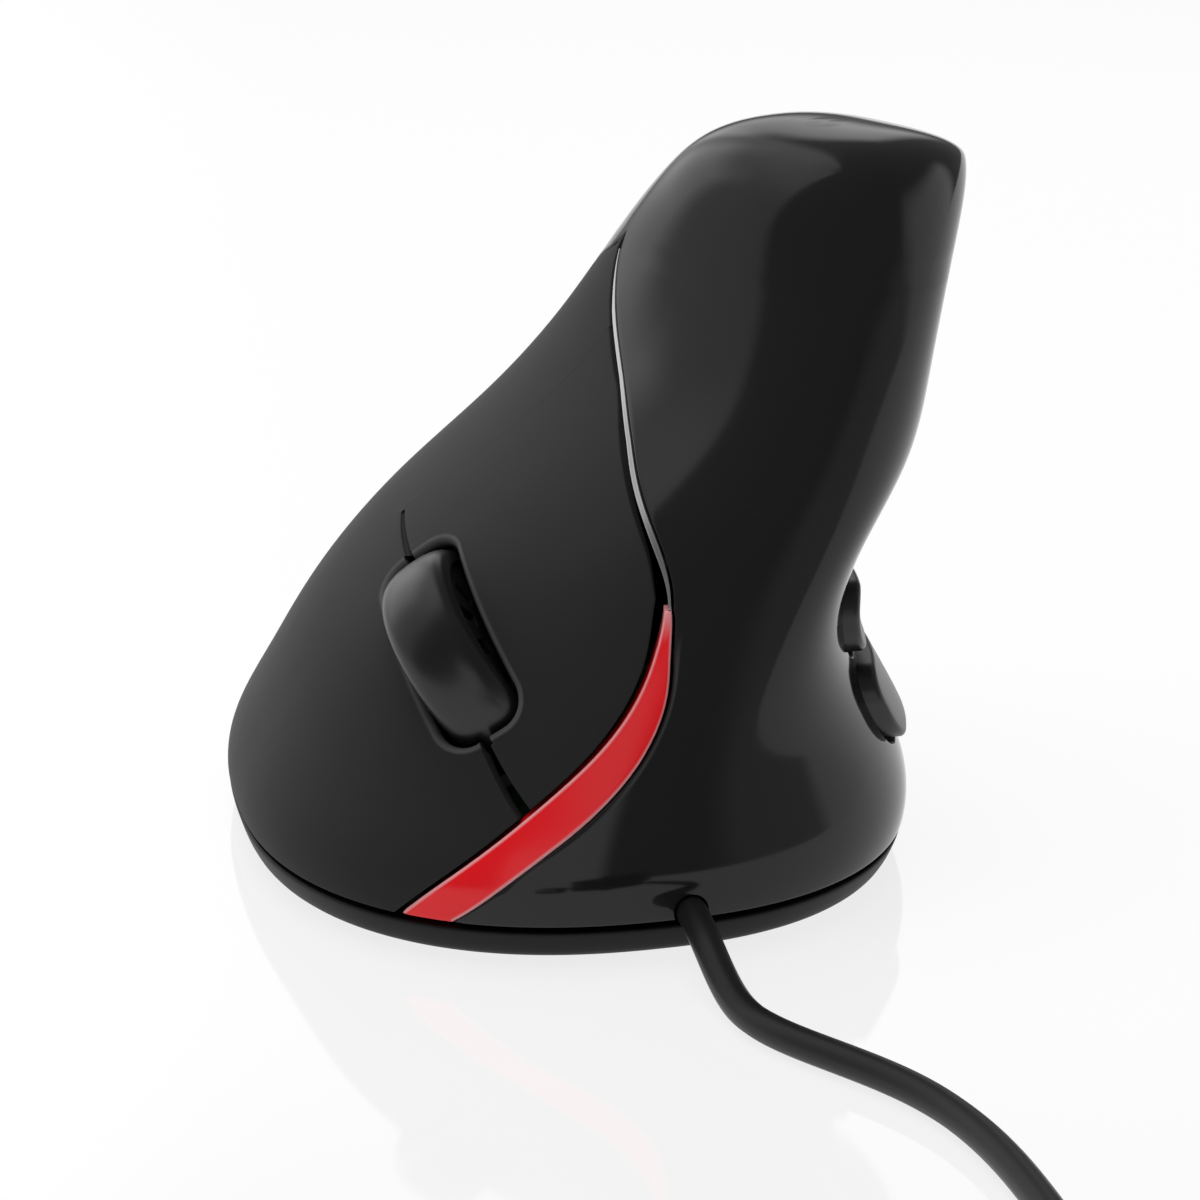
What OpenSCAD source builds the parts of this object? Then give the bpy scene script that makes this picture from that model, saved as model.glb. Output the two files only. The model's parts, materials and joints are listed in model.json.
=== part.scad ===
// Vertical ergonomic mouse on a cord. A lofted body leans towards the fingers and ends in a thumb fin.
// A gloss shell covers the thumb side, and a satin panel with two flexing buttons covers the finger side.
// Frame: +X towards the fingers, +Y to the front where the cord leaves, +Z up.
// The origin lies on the desk, under the middle of the body.

/* [Body] */
// Length of the body, front to back
body_l = 92; // [86:1:100]
// Width of the body, from the thumb fin to the finger side
body_w = 83; // [77:1:91]
// Height of the body over the desk
body_h = 79; // [74:1:86]
// Wall of the moulded shells
wall = 2; // [1.6:0.1:2.4]
// Height of the base band under the parting line
base_h = 4; // [3.6:0.1:5]
// Thickness of the base floor
floor_t = 2; // [1.6:0.1:2.4]
// Gap between neighbouring skins that are fixed
skin_gap = 0.6; // [0.4:0.05:0.8]

/* [Buttons] */
// Gap between the finger buttons and the inlay beside them
button_gap = 0.9; // [0.8:0.05:1.2]
// Width of the slit between the two finger buttons
slit_w = 0.9; // [0.7:0.1:1.2]
// Length of each thumb key
key_l = 25; // [20:1:28]
// Height of each thumb key
key_h = 8.6; // [7:0.2:9]
// How far the thumb keys stand proud of the shell
key_proud = 1.8; // [1.2:0.1:2.4]
// Gap round each thumb key
key_gap = 0.45; // [0.35:0.05:0.6]

/* [Accent] */
// Widest part of the red stripe, measured level along the body
stripe_w = 6.2; // [4:0.2:8]
// Width of the thin silver line above the stripe
line_w = 0.7; // [0.5:0.1:1.2]
// Width of the fixing flange behind the shell
flange_w = 3; // [2:0.5:4]

/* [Scroll wheel] */
// Diameter over the tyre
wheel_d = 26; // [24:0.5:28]
// Width of the tyre
wheel_w = 8.4; // [7:0.2:9]
// How far the tyre stands out of the skin
wheel_proud = 5.2; // [4:0.2:6]
// Thickness of the rubber tyre
tyre_t = 2.6; // [2:0.2:3.2]
// Diameter of the wheel's axle
axle_d = 3; // [2.4:0.2:3.6]
// Room round the tyre in its slot
slot_room = 1; // [0.8:0.1:1.4]

/* [Boards] */
// Thickness of every circuit board
board_t = 1.6; // [1.2:0.2:2]
// Height of the main board over the base floor
board_stand = 4; // [3.5:0.25:5]
// Length of a finger switch
switch_l = 12.8; // [12:0.2:13.4]
// Width of a finger switch
switch_w = 5.8; // [5:0.2:6.4]
// Height of a finger switch
switch_h = 6.5; // [5.8:0.1:7]
// Width of a small push switch
tact_w = 6; // [5:0.5:7]
// Height of a small push switch
tact_h = 4.3; // [3.8:0.1:5]

/* [Feet and screws] */
// Diameter of the glide feet
foot_d = 13; // [9:1:15]
// How far the feet stand out of the base
foot_proud = 0.6; // [0.4:0.1:1]
// Depth of the recess that holds each foot
foot_seat = 0.4; // [0.2:0.1:0.6]
// Shank diameter of the screws
screw_d = 2.4; // [2:0.1:2.8]
// Head diameter of the screws
head_d = 4.6; // [4:0.2:5.4]

/* [Cord] */
// Diameter of the cord
cord_d = 3.3; // [2.8:0.1:3.6]
// Turns in each layer of the coil
coil_turns = 3; // [2:1:4]
// Layers of the coil
coil_layers = 4; // [2:2:4]
// Radius of the innermost turn
coil_r = 11.6; // [10:0.2:14]

/* [Hidden] */
$fn = 48;

// How far joined solids run into each other, and how far a cut runs past the face that it opens
fuse = 0.5;
past = 1;

// Room between seated faces, beside the inlay, behind its flange, and round screws in their holes
seat_gap = 0.1;
inlay_gap = 0.3;
flange_gap = 0.3;
screw_room = 0.25;
screw_fit = 0.05;

// The guides were drawn on a body of this width, length and height over its feet
drawn = [83, 92, 78.4];
scale_x = body_w / drawn.x;
scale_y = body_l / drawn.y;
scale_z = (body_h - foot_proud) / drawn.z;

// One value per station, from the underside to the crown; station 1 is the parting line
parting = 1;
crown_station = 12;
heights = concat([0, base_h], scale_z * [9.5, 17, 26.5, 36, 45, 54.5, 64, 71.5, 76, 78, 78.4]);
finger_reach = scale_x * [37.4, 38.7, 37.6, 36, 34.2, 29.8, 22.2, 15.4, 12.6, 12.5, 11, 7.5, 2];
thumb_reach = scale_x * [33.6, 35.4, 35.4, 30, 21.3, 16.6, 17.8, 16.8, 16.2, 17.2, 18.4, 16.5, 3];
front_reach = scale_y * [38.3, 39.7, 39.4, 37, 34, 30.7, 27.5, 24.3, 20.7, 16.5, 13, 8.5, 2];
rear_reach = scale_y * [49, 52, 48, 42.5, 38, 34.5, 30.3, 25.8, 21.3, 17, 13, 7.5, 2];
spine_x = scale_x * [3.1, 3.1, 3.1, 1.1, -2.4, -6.9, -11.4, -15.4, -18.9, -21.9, -23.4, -24.1, -24.4];
spine_y = scale_y * 6.2;
twist = [0, 0, 0, 3, 8, 13, 18, 22, 25, 27, 28, 28, 28];
squareness = [2.3, 2.3, 2.3, 2.2, 2.1, 2.1, 2.1, 2.2, 2.3, 2.4, 2.4, 2.4, 2.2];
crown_drop = [0, 0, 0, 0, 0, 0, 0, 2, 5, 9, 12, 13, 13] / 1000;

// The seam runs up the front, over the finger side and down the rear: its angle at each half station
seam_step = 0.5;
seam_turn = [48.5, 53, 58, 62.5, 66.3, 69.5, 70, 67.3, 61.3, 49, 31.5, 13.5, -4.5, -22, -39];
rear_turn = [-118, -117.5, -117, -116, -115, -113.5, -112, -109.5, -107, -103, -99, -92, -82, -66, -45];
seam_end = 8;
seam_rows = 18;
ring_start = 8.25;
ring_turn = -43;
ring_top = 11.7;

// Share of the stripe's width at each half station, and the row of the seam where its point lies
stripe_taper = [0.9, 1, 1, 1, 0.95, 0.75, 0.5, 0.25, 0.11];
stripe_rows = 10;
tip_gap = 0.02;
line_point = 0.25;
line_fade = 0.8;

// The slit between the finger buttons, as places of angle and station, ends at the line where they flex
slit = [[-15, 5.1], [2, 4.85], [25, 4.4], [45, 3.7], [64.5, 2.85]];
flex_turn = slit[0].x;
flex_gap = 0.4;
index_corner = 5;
turn_probe = 0.1;
station_probe = 0.01;

// A cubic curve through equally spaced values or points
function guide(p, v) =
    let (last = len(p) - 2, i = min(max(floor(v), 0), last), f = v - i)
    let (a = p[i], b = p[i + 1])
    let (before = i > 0 ? p[i - 1] : 2 * a - b, after = i < last ? p[i + 2] : 2 * b - a)
    let (slope_a = (b - before) / 2, slope_b = (after - a) / 2)
    a + f * (slope_a + f * (3 * (b - a) - 2 * slope_a - slope_b + f * (2 * (a - b) + slope_a + slope_b)));

function along(curve, s) = guide(curve, s * (len(curve) - 1));
function mix(a, b, s) = a + (b - a) * s;
function unit(w) = w / norm(w);
function bulge(x, power) = sign(x) * pow(abs(x), power);
function last_of(list) = list[len(list) - 1];
function all_but_last(list) = [for (i = [0:len(list) - 2]) list[i]];

// A point of the body's form at an angle round it and a station up it, some depth under the skin
function skin(turn, station, depth = 0) =
    let (power = 2 / guide(squareness, station), roll = guide(twist, station))
    let (side = guide(cos(turn) > 0 ? finger_reach : thumb_reach, station) - depth)
    let (face = guide(sin(turn) > 0 ? front_reach : rear_reach, station) - depth)
    let (x = side * bulge(cos(turn), power), y = face * bulge(sin(turn), power))
    let (sunk = guide(crown_drop, station) * x * x + depth * pow(station / crown_station, 3))
    [guide(spine_x, station) + x * cos(roll) - y * sin(roll),
     spine_y + x * sin(roll) + y * cos(roll),
     foot_proud + guide(heights, station) - sunk];

function skin_normal(turn, station) =
    unit(cross(skin(turn + turn_probe, station) - skin(turn - turn_probe, station),
               skin(turn, station + station_probe) - skin(turn, station - station_probe)));

// The angle, and the share of a station, that a length covers on the skin
function turn_for(length, turn, station) =
    length * turn_probe / norm(skin(turn + turn_probe, station) - skin(turn, station));
function rise_for(length, turn, station) =
    length * station_probe / norm(skin(turn, station + station_probe) - skin(turn, station));

function seam(station) = guide(seam_turn, (station - parting) / seam_step);
function rear_seam(station) = guide(rear_turn, (station - parting) / seam_step);
function beside_seam(length, station) = seam(station) + turn_for(length, seam(station), station);
function button_edge(station) = [beside_seam(skin_gap / 2 - button_gap, station), station];
function panel_edge(station) = beside_seam(-skin_gap / 2, station);
function flex_edge(station) = flex_turn - turn_for(flex_gap, flex_turn, station);

// The station where the buttons' front edge meets the line on which they flex, found by halving
function flex_meets(low, high, steps = 20) =
    let (middle = (low + high) / 2)
    steps == 0 ? middle :
    button_edge(middle).x > flex_turn
        ? flex_meets(middle, high, steps - 1)
        : flex_meets(low, middle, steps - 1);

flex_top = flex_meets(index_corner, seam_end);

// Stations of the shell and of the inlay along its seam, from the parting line upwards
shell_low = parting + rise_for(seat_gap, 0, parting);
seam_stations = [for (i = [0:seam_rows]) mix(shell_low, seam_end, i / seam_rows)];
stripe_tip = seam_stations[stripe_rows];

// Width of the inlay beside the seam: the stripe up to its tip, then the line, which ends in a point
function stripe_width(station) = stripe_w * guide(stripe_taper, (station - parting) / seam_step);
function line_width(station) = line_w * min(1, line_point + (seam_end - station) / line_fade);
function inlay_width(station) =
    station < stripe_tip ? max(stripe_width(station), line_w) : line_width(station);
function beside_inlay(length, station) =
    let (edge = beside_seam(skin_gap / 2, station))
    [edge + turn_for(length, edge, station), station];

// A patch of places between four edge curves that share their corners
function patch(low, high, back, front, cols, rows) =
    [for (i = [0:rows]) [for (j = [0:cols])
        let (s = j / cols, t = i / rows)
        mix(along(low, s), along(high, s), t) + mix(along(back, t), along(front, t), s)
        - mix(mix(low[0], high[0], t), mix(last_of(low), last_of(high), t), s)]];

// Frames on the skin: an origin and three axes
function into(frame, p) = [for (k = [1:3]) (p - frame[0]) * frame[k]];
function out_of(frame, p) = frame[0] + p.x * frame[1] + p.y * frame[2] + p.z * frame[3];

// The place on the skin that lies over a point of a frame, found by Newton steps
function over(frame, x, y, place, steps = 6) =
    steps == 0 ? place :
    let (p = into(frame, skin(place.x, place.y)))
    let (a = (into(frame, skin(place.x + turn_probe, place.y)) - p) / turn_probe)
    let (b = (into(frame, skin(place.x, place.y + station_probe)) - p) / station_probe)
    let (dx = x - p.x, dy = y - p.y, d = a.x * b.y - b.x * a.y)
    over(frame, x, y, place + [(dx * b.y - dy * b.x) / d, (a.x * dy - a.y * dx) / d], steps - 1);

module stand_in(frame) {
    o = frame[0];
    a = frame[1];
    b = frame[2];
    c = frame[3];
    multmatrix([[a.x, b.x, c.x, o.x], [a.y, b.y, c.y, o.y], [a.z, b.z, c.z, o.z], [0, 0, 0, 1]]) children();
}

// Wheel frame: the middle of the axle, the way along the slit, the axle, and straight out of the skin
wheel_place = slit[2];
wheel_out = skin_normal(wheel_place.x, wheel_place.y);
slit_way = skin(slit[3].x, slit[3].y) - skin(slit[1].x, slit[1].y);
wheel_along = unit(slit_way - (slit_way * wheel_out) * wheel_out);
wheel_r = wheel_d / 2;
wheel_frame = [
    skin(wheel_place.x, wheel_place.y) - (wheel_r - wheel_proud) * wheel_out,
    wheel_along, cross(wheel_out, wheel_along), wheel_out
];

// Thumb frame: the middle of the keys, back along the body, up, and level out of the shell
thumb_place = [163, 3.6];
thumb_lean = skin_normal(thumb_place.x, thumb_place.y);
thumb_out = unit([thumb_lean.x, thumb_lean.y, 0]);
thumb_frame = [skin(thumb_place.x, thumb_place.y), cross([0, 0, 1], thumb_out), [0, 0, 1], thumb_out];

// Wheel: its slot in the buttons, the hub's light slots and the frame that carries the axle
slot_dip = wall + 1;
slot_round = 3.2;
tyre_round = 1.6;
hub_inset = 0.4;
hub_slots = 12;
hub_slot_w = 1.8;
hub_slot_r = 6.2;
hub_rim = 1.4;
carrier_room = 0.9;
carrier_t = 1.6;
carrier_end = 1;
carrier_low = -1.9;
carrier_rim = 1.8;
carrier_high = 2.6;
carrier_cheek = 4;
carrier_ear_d = 4.6;
axle_room = 0.05;
axle_short = 0.4;

// Push switches: the button, how deep it sits and the well that it slides in
tact_button_h = 0.7;
tact_button_d = 3.4;
tact_hold = 0.9;
tact_well = 1.6;

// Finger switches under the buttons, in the wheel frame
switch_back = -5;
switch_side = 12;
plunger_proud = 0.9;
plunger_hold = 0.8;
plunger_well = 1.6;
plunger_d = 1.8;
plunger_room = 0.2;
post_d = 3.4;

// Sloping board under the buttons, its bracket, the guide pins and the light gate, in the wheel frame
button_board_top = carrier_low - tact_button_h - tact_h;
button_board_from = [-20.5, -14.6];
button_board_to = [17, 15.5];
button_board_slot = [25, 11.6];
bracket_from = [-20.5, -9];
bracket_to = [15.5, 13.5];
bracket_t = 2.2;
bracket_slot_room = 0.2;
leg_places = [[-15, 4], [12.5, 1]];
leg_top = [5, 7, 0.5];
leg_foot = [7, 7, 1];
pin_d = 2;
pin_places = [[-18, 0], [12, 9]];
pin_room = 0.08;
pin_proud = 0.6;
tact_place = [12, -9];
beam_place = [7, -3.6];
beam_side = 9.4;
beam_size = [3.6, 2.4];
beam_rise = 1.6;
beam_d = 2.2;
beam_proud = 0.8;

// Base, main board and what stands on it
base_sides = 60;
base_bend = 0.4;
base_floor_edge = 0.5;
floor_top = foot_proud + floor_t;
board_low = floor_top + board_stand;
board_top = board_low + board_t;
board_from = [-24, -20];
board_to = [6, 27];
board_holes = [[-20, -16], [2, -16], [-20, 22]];
board_screw_d = screw_d - 0.4;
board_screw_short = 0.6;
stand_d = 5;
sensor_place = [-2, 0];
sensor_size = [12, 9.2, 2.8];
sensor_window = [8, 6];
lens_size = [14, 10];
lens_d = 4.4;
lens_dip = 1.2;
lamp_place = [-2, 8];
lamp_d = 5;
lamp_h = 2.6;
controller_place = [-9, -10.5];
controller_size = [10, 10, 1.4];

// Thumb board behind the keys, standing on the main board, and the keys' forms
thumb_board_depth = 13;
thumb_board_l = 22;
thumb_board_h = 26;
thumb_board_gap = 0.2;
header_l = 16;
header_t = 2.6;
key_rise = key_h / 2 + 0.9;
key_round = 3.6;
key_back = 1.8;
key_lip = 0.9;
key_lip_t = 0.9;
key_lip_gap = 0.4;
key_reach = 12;
key_turns = [128, 200];
upper_stations = [3.2, 5.2];
lower_stations = [1.9, 4];
stem_d = 4;

// Case screws: angles of the bosses in the gloss shell and in the finger panel
boss_station = 1.7;
boss_inset = 7;
boss_d = 6;
boss_top = 11.5;
boss_foot = foot_proud + base_h + 0.4;
boss_rib = 1.6;
boss_step = 1;
rib_rise = 0.4;
shell_bosses = [118, 222];
panel_bosses = [-38, -85];
all_bosses = concat(shell_bosses, panel_bosses);
screw_l = 7.5;
head_h = 1.6;
head_sink = 0.2;
head_room = 0.3;
foot_room = 0.15;
foot_places = [[22, 26], [-19, 26], [17, -30], [-7, -31]];

// Cord: its way out through the front, the grommet inside, the coil and the strap round it
cord_rise = 1;
cord_exit = [0.7, skin(90, parting).y, foot_proud + base_h + cord_rise];
cord_room = 0.25;
cord_way_l = 16;
connector_size = [6.4, 6, 5];
grommet_d = 2 * (cord_exit.z - floor_top);
grommet_l = 3.6;
grommet_back = 7;
grommet_room = 0.05;
coil_room = 0.5;
coil_step = cord_d + coil_room;
coil_climb = 0.5;
coil_rings = 24;
coil_sides = 6;
tube_sides = 8;
tie_t = 0.8;
tie_w = 6;
tie_room = 0.3;
coil_low = cord_d / 2 + tie_t + seat_gap;
coil_outer = coil_r + coil_turns * coil_step;
coil_place = [-15.6, 158];
coil_middle = coil_place + [coil_outer, 0];
coil_stub = 1.5 * cord_d;
tail_out = 10;

// The cord's route from its socket on the main board, down onto the desk and to the coil
lead_route = [
    [0.7, 22, 10.4], [0.7, 24.5, 10.4], [0.7, 27, 10.4], [0.7, 30.5, 9.1], [0.7, 34, 6.9],
    [0.7, 37, 5.65], [0.7, 39, 5.6], [0.7, 41, 5.6], [0.7, 43.5, 5.6], [0.7, 47.5, 5.5],
    [0.7, 52, 4.7], [0.5, 56, 3.3], [0, 61, 2], [-1.4, 66, 1.7], [-4.2, 71, 1.7],
    [-8, 76.5, 1.7], [-12, 83.5, 1.7], [-14.6, 92, 1.7], [-15.6, 102, 1.8], [-15.6, 114, 2],
    [-15.6, 128, 2.3], [-15.6, 140, 2.5], [-15.6, 149, 2.55],
    [coil_place.x, coil_place.y - coil_stub, coil_low]
];
lead_rows = 46;
tail_rows = 14;

// Plug: moulded grip and the standard metal shell
plug_z = 4.2;
grip_size = [15.6, 20, 8.2];
grip_neck = 7;
grip_neck_d = cord_d + 1.6;
grip_shoulder = [11.6, 6.2];
grip_round = 2;
grip_skin = 0.1;
shell_size = [12, 12, 4.5];
shell_hold = 5;
shell_t = 0.35;
tongue_t = 1.8;
tongue_short = 1;

// A closed sheet over rows of places, between two depths under the skin.
// From its first ring the rows close round the form, and a cap ends the last of them.
module sheet(grid, outer, inner, first_ring = undef) {
    rows = len(grid);
    cols = len(grid[0]);
    count = rows * cols;
    capped = !is_undef(first_ring);
    function at(i, j) = i * cols + (capped && i >= first_ring && j == cols - 1 ? 0 : j);
    function middle(depth) =
        let (ring = [for (place = grid[rows - 1]) skin(place.x, place.y, depth)])
        let (half = (ring[0] + ring[floor(cols / 2)]) / 2)
        [half.x, half.y, skin(0, crown_station, depth).z];
    points = concat(
        [for (row = grid) for (place = row) skin(place.x, place.y, outer)],
        [for (row = grid) for (place = row) skin(place.x, place.y, inner)],
        capped ? [middle(outer), middle(inner)] : []
    );
    cells = [
        for (i = [0:rows - 2]) for (j = [0:cols - 2])
            [at(i, j), at(i, j + 1), at(i + 1, j + 1), at(i + 1, j)]
    ];
    side_rows = capped ? first_ring - 1 : rows - 2;
    low_edge = [for (j = [0:cols - 2]) [at(0, j), at(0, j + 1)]];
    high_edge = [for (j = [0:cols - 2]) [at(rows - 1, j + 1), at(rows - 1, j)]];
    back_edge = [for (i = [0:side_rows]) [at(i + 1, 0), at(i, 0)]];
    front_edge = [for (i = [0:side_rows]) [at(i, cols - 1), at(i + 1, cols - 1)]];
    edges = concat(low_edge, back_edge, front_edge, capped ? [] : high_edge);
    faces = concat(
        [for (c = cells) [c[0], c[3], c[2]]],
        [for (c = cells) [c[0], c[2], c[1]]],
        [for (c = cells) [c[0] + count, c[2] + count, c[3] + count]],
        [for (c = cells) [c[0] + count, c[1] + count, c[2] + count]],
        [for (e = edges) [e[0], e[1], e[1] + count]],
        [for (e = edges) [e[0], e[1] + count, e[0] + count]],
        capped ? [for (e = high_edge) [e[1], 2 * count, e[0]]] : [],
        capped ? [for (e = high_edge) [e[1] + count, e[0] + count, 2 * count + 1]] : []
    );
    polyhedron(points, faces, convexity = 8);
}

// A closed solid through rings of points, with a fan of triangles over each end
module rings(list) {
    n = len(list[0]);
    top = (len(list) - 1) * n;
    tips = len(list) * n;
    function next(j) = (j + 1) % n;
    function centre(ring) = [for (k = [0:2]) [for (p = ring) p[k]] * [for (p = ring) 1] / n];
    points = concat([for (ring = list) for (p = ring) p], [centre(list[0]), centre(last_of(list))]);
    faces = concat(
        [for (i = [0:n:top - 1]) for (j = [0:n - 1]) [i + j, i + n + j, i + n + next(j)]],
        [for (i = [0:n:top - 1]) for (j = [0:n - 1]) [i + j, i + n + next(j), i + next(j)]],
        [for (j = [0:n - 1]) [tips, j, next(j)]],
        [for (j = [0:n - 1]) [tips + 1, top + next(j), top + j]]
    );
    polyhedron(points, faces, convexity = 6);
}

// A round tube through points, with square ends
module tube(points, d, sides) {
    last = len(points) - 1;
    function way(i) = unit(points[min(i + 1, last)] - points[max(i - 1, 0)]);
    function ring(i) =
        let (side = unit(cross(way(i), [0, 0, 1])), up = cross(side, way(i)))
        [for (k = [0:sides - 1])
            let (a = 360 * (k + 0.5) / sides)
            points[i] + d / 2 * (sin(a) * side + cos(a) * up)];
    rings([for (i = [0:last]) ring(i)]);
}

module rounded_bar(length, width, round) {
    square([length, width - 2 * round], center = true);
    square([length - 2 * round, width], center = true);
    for (x = [-1, 1], y = [-1, 1])
        translate([x * (length / 2 - round), y * (width / 2 - round)]) circle(round);
}

module block(from, to) {
    translate(from) cube(to - from);
}

// A box that stands on a level, centred over a place
module box_on(place, level, size) {
    translate([place.x - size.x / 2, place.y - size.y / 2, level]) cube(size);
}

function boss_at(turn, z) =
    let (p = skin(turn, boss_station, boss_inset))
    [p.x, p.y, z];

// Base plate: a shallow tray with seats for the feet, screw pillars, board stands and the sensor window
module base_plate() {
    rim = parting - rise_for(skin_gap, 0, parting);
    turns = [for (k = [0:base_sides - 1]) 360 * k / base_sides];
    head_top = foot_proud + head_sink + head_h + seat_gap;
    function level(station, depth) = [for (a = turns) skin(a, station, depth)];
    function flat(station, depth, z) = [for (p = level(station, depth)) [p.x, p.y, z]];
    color("#232326")
        difference() {
            union() {
                rings([level(0, 0), level(base_bend, 0), level(rim, 0), level(rim, wall),
                       flat(base_floor_edge, wall, floor_top)]);
                for (a = all_bosses)
                    translate(boss_at(a, floor_top - fuse))
                        cylinder(d = boss_d, h = boss_foot - floor_top + fuse);
                for (p = board_holes)
                    translate([p.x, p.y, floor_top - fuse]) cylinder(d = stand_d, h = board_stand + fuse);
            }
            for (a = all_bosses) {
                translate(boss_at(a, -past)) cylinder(d = screw_d + 2 * screw_room, h = boss_foot + 2 * past);
                translate(boss_at(a, -past)) cylinder(d = head_d + 2 * head_room, h = head_top + past);
            }
            for (p = board_holes)
                translate([p.x, p.y, floor_top])
                    cylinder(d = board_screw_d + 2 * screw_fit, h = board_stand + past);
            for (p = foot_places)
                translate([p.x, p.y, -past])
                    cylinder(d = foot_d + 2 * foot_room, h = foot_proud + foot_seat + past);
            translate([sensor_place.x, sensor_place.y, -past])
                linear_extrude(floor_top + 2 * past)
                    rounded_bar(sensor_window.x, sensor_window.y, sensor_window.y / 3);
            cord_way();
        }
}

// The round way that the cord takes through the front of the base and the shell
module cord_way() {
    translate([cord_exit.x, cord_exit.y - cord_way_l / 2, cord_exit.z])
        rotate([-90, 0, 0]) cylinder(d = cord_d + 2 * cord_room, h = cord_way_l);
}

// A screw boss with the rib that ties it to the shell's wall
module boss(turn) {
    at = boss_at(turn, boss_foot);
    edge = skin(turn, boss_station, wall - fuse / 2);
    reach = [edge.x - at.x, edge.y - at.y];
    translate(at) cylinder(d = boss_d, h = boss_top - boss_foot);
    translate(at)
        rotate([0, 0, atan2(reach.y, reach.x)])
            block([0, -boss_rib / 2, boss_step],
                  [norm(reach), boss_rib / 2, boss_top - boss_foot + rib_rise]);
}

module boss_hole(turn) {
    translate(boss_at(turn, boss_foot - past))
        cylinder(d = screw_d + 2 * screw_fit, h = screw_l - head_h + past);
}

// Gloss shell of the thumb side, the front and the crown
module main_shell() {
    cols = 40;
    ring_rows = 9;
    function start(v) = beside_inlay(inlay_width(v) + inlay_gap, v).x;
    function finish(v) = rear_seam(v) + 360 - turn_for(skin_gap / 2, rear_seam(v), v);
    open_part = [
        for (v = seam_stations)
            [for (j = [0:cols]) [mix(start(v), finish(v), j / cols), v]]
    ];
    ring_part = [
        for (i = [0:ring_rows])
            [for (j = [0:cols]) [ring_turn + 360 * j / cols, mix(ring_start, ring_top, i / ring_rows)]]
    ];
    color("#0c0c0e")
        difference() {
            union() {
                sheet(concat(open_part, ring_part), 0, wall, seam_rows + 1);
                for (a = shell_bosses)
                    boss(a);
            }
            for (a = shell_bosses)
                boss_hole(a);
            cord_way();
            for (up = [-1, 1])
                key_bar(up, key_gap);
        }
}

// Fixed rear part of the satin finger panel
module finger_panel() {
    cols = 12;
    rows = 18;
    function start(v) = rear_seam(v) + turn_for(skin_gap / 2, rear_seam(v), v);
    function finish(v) = min(flex_edge(v), panel_edge(v));
    stations = [for (i = [0:rows]) mix(shell_low, seam_end, i / rows)];
    grid = [for (v = stations) [for (j = [0:cols]) [mix(start(v), finish(v), j / cols), v]]];
    color("#2b2b2e")
        difference() {
            union() {
                sheet(grid, 0, wall);
                for (a = panel_bosses)
                    boss(a);
            }
            for (a = panel_bosses)
                boss_hole(a);
        }
}

// Edges of the finger buttons along the slit, above or below it
function slit_side(way) = [for (p = slit) [p.x, p.y + way * rise_for(slit_w / 2, p.x, p.y)]];
function slit_edge(way) =
    let (line = slit_side(way))
    concat(all_but_last(line), [button_edge(last_of(line).y)]);

// The slot of the wheel, long enough for the tyre where it passes the inside of the skin
module wheel_slot() {
    half_chord = sqrt(wheel_r * wheel_r - pow(wheel_r - wheel_proud - slot_dip, 2));
    stand_in(wheel_frame)
        linear_extrude(wheel_r)
            rounded_bar(2 * (half_chord + slot_room), wheel_w + 2 * slot_room, slot_round);
}

// The post under a finger button that reaches its switch
module button_post(side) {
    place = over(wheel_frame, switch_back, side, wheel_place);
    top = into(wheel_frame, skin(place.x, place.y, wall / 2)).z;
    low = button_board_top + switch_h + plunger_proud;
    stand_in(wheel_frame)
        translate([switch_back, side, low]) cylinder(d = post_d, h = top - low);
}

module finger_button(low, high, front, side) {
    cols = 14;
    rows = 12;
    color("#2b2b2e")
        difference() {
            union() {
                sheet(patch(low, high, [low[0], high[0]], front, cols, rows), 0, wall);
                button_post(side);
            }
            wheel_slot();
        }
}

// Button for the index finger, above the slit
module index_button() {
    low = slit_edge(1);
    high = [for (k = [0:6]) button_edge(mix(flex_top, index_corner, k / 6))];
    front = [for (k = [0:4]) button_edge(mix(last_of(low).y, index_corner, k / 4))];
    finger_button(low, high, front, switch_side);
}

// Button for the middle finger, below the slit
module middle_button() {
    high = slit_edge(-1);
    back = [flex_turn, shell_low];
    corner = button_edge(shell_low);
    front = [for (k = [0:4]) button_edge(mix(shell_low, last_of(high).y, k / 4))];
    finger_button([back, (back + corner) / 2, corner], high, front, -switch_side);
}

// An inlay beside the seam, with a flange that is bonded behind the shell
module inlay(stations) {
    root = wall + flange_gap;
    flange_t = 0.7;
    shares = [0, 0.5, 1];
    function strip(v, from, to) = [for (s = shares) beside_inlay(mix(from, to, s), v)];
    face = [for (v = stations) strip(v, 0, inlay_width(v))];
    flange = [for (v = stations) strip(v, line_w / 4, inlay_width(v) + flange_w)];
    union() {
        sheet(face, 0, root + flange_t + seat_gap);
        sheet(flange, root, root + flange_t);
    }
}

module accent_stripe() {
    color("#d81f27")
        inlay(concat([for (i = [0:stripe_rows - 1]) seam_stations[i]], [stripe_tip - tip_gap]));
}

module accent_line() {
    color("#b9bcc0")
        inlay(concat([stripe_tip + tip_gap], [for (i = [stripe_rows + 1:seam_rows]) seam_stations[i]]));
}

module glide_feet() {
    color("#e8e8e6")
        for (p = foot_places)
            translate([p.x, p.y, 0]) cylinder(d = foot_d, h = foot_proud + foot_seat);
}

// A screw that stands on its head
module screw(d, length) {
    cylinder(d = head_d, h = head_h);
    translate([0, 0, head_h - fuse]) cylinder(d = d, h = length - head_h + fuse);
}

module case_screws() {
    color("#9a9da2")
        for (a = all_bosses)
            translate(boss_at(a, foot_proud + head_sink)) screw(screw_d, screw_l);
}

// The outline of a thumb key, or with a margin that of its window or its lip, run through the shell
module key_bar(up, margin) {
    stand_in(thumb_frame)
        translate([0, up * key_rise, -key_reach])
            linear_extrude(2 * key_reach)
                rounded_bar(key_l + 2 * margin, key_h + 2 * margin, key_round + margin);
}

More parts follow.
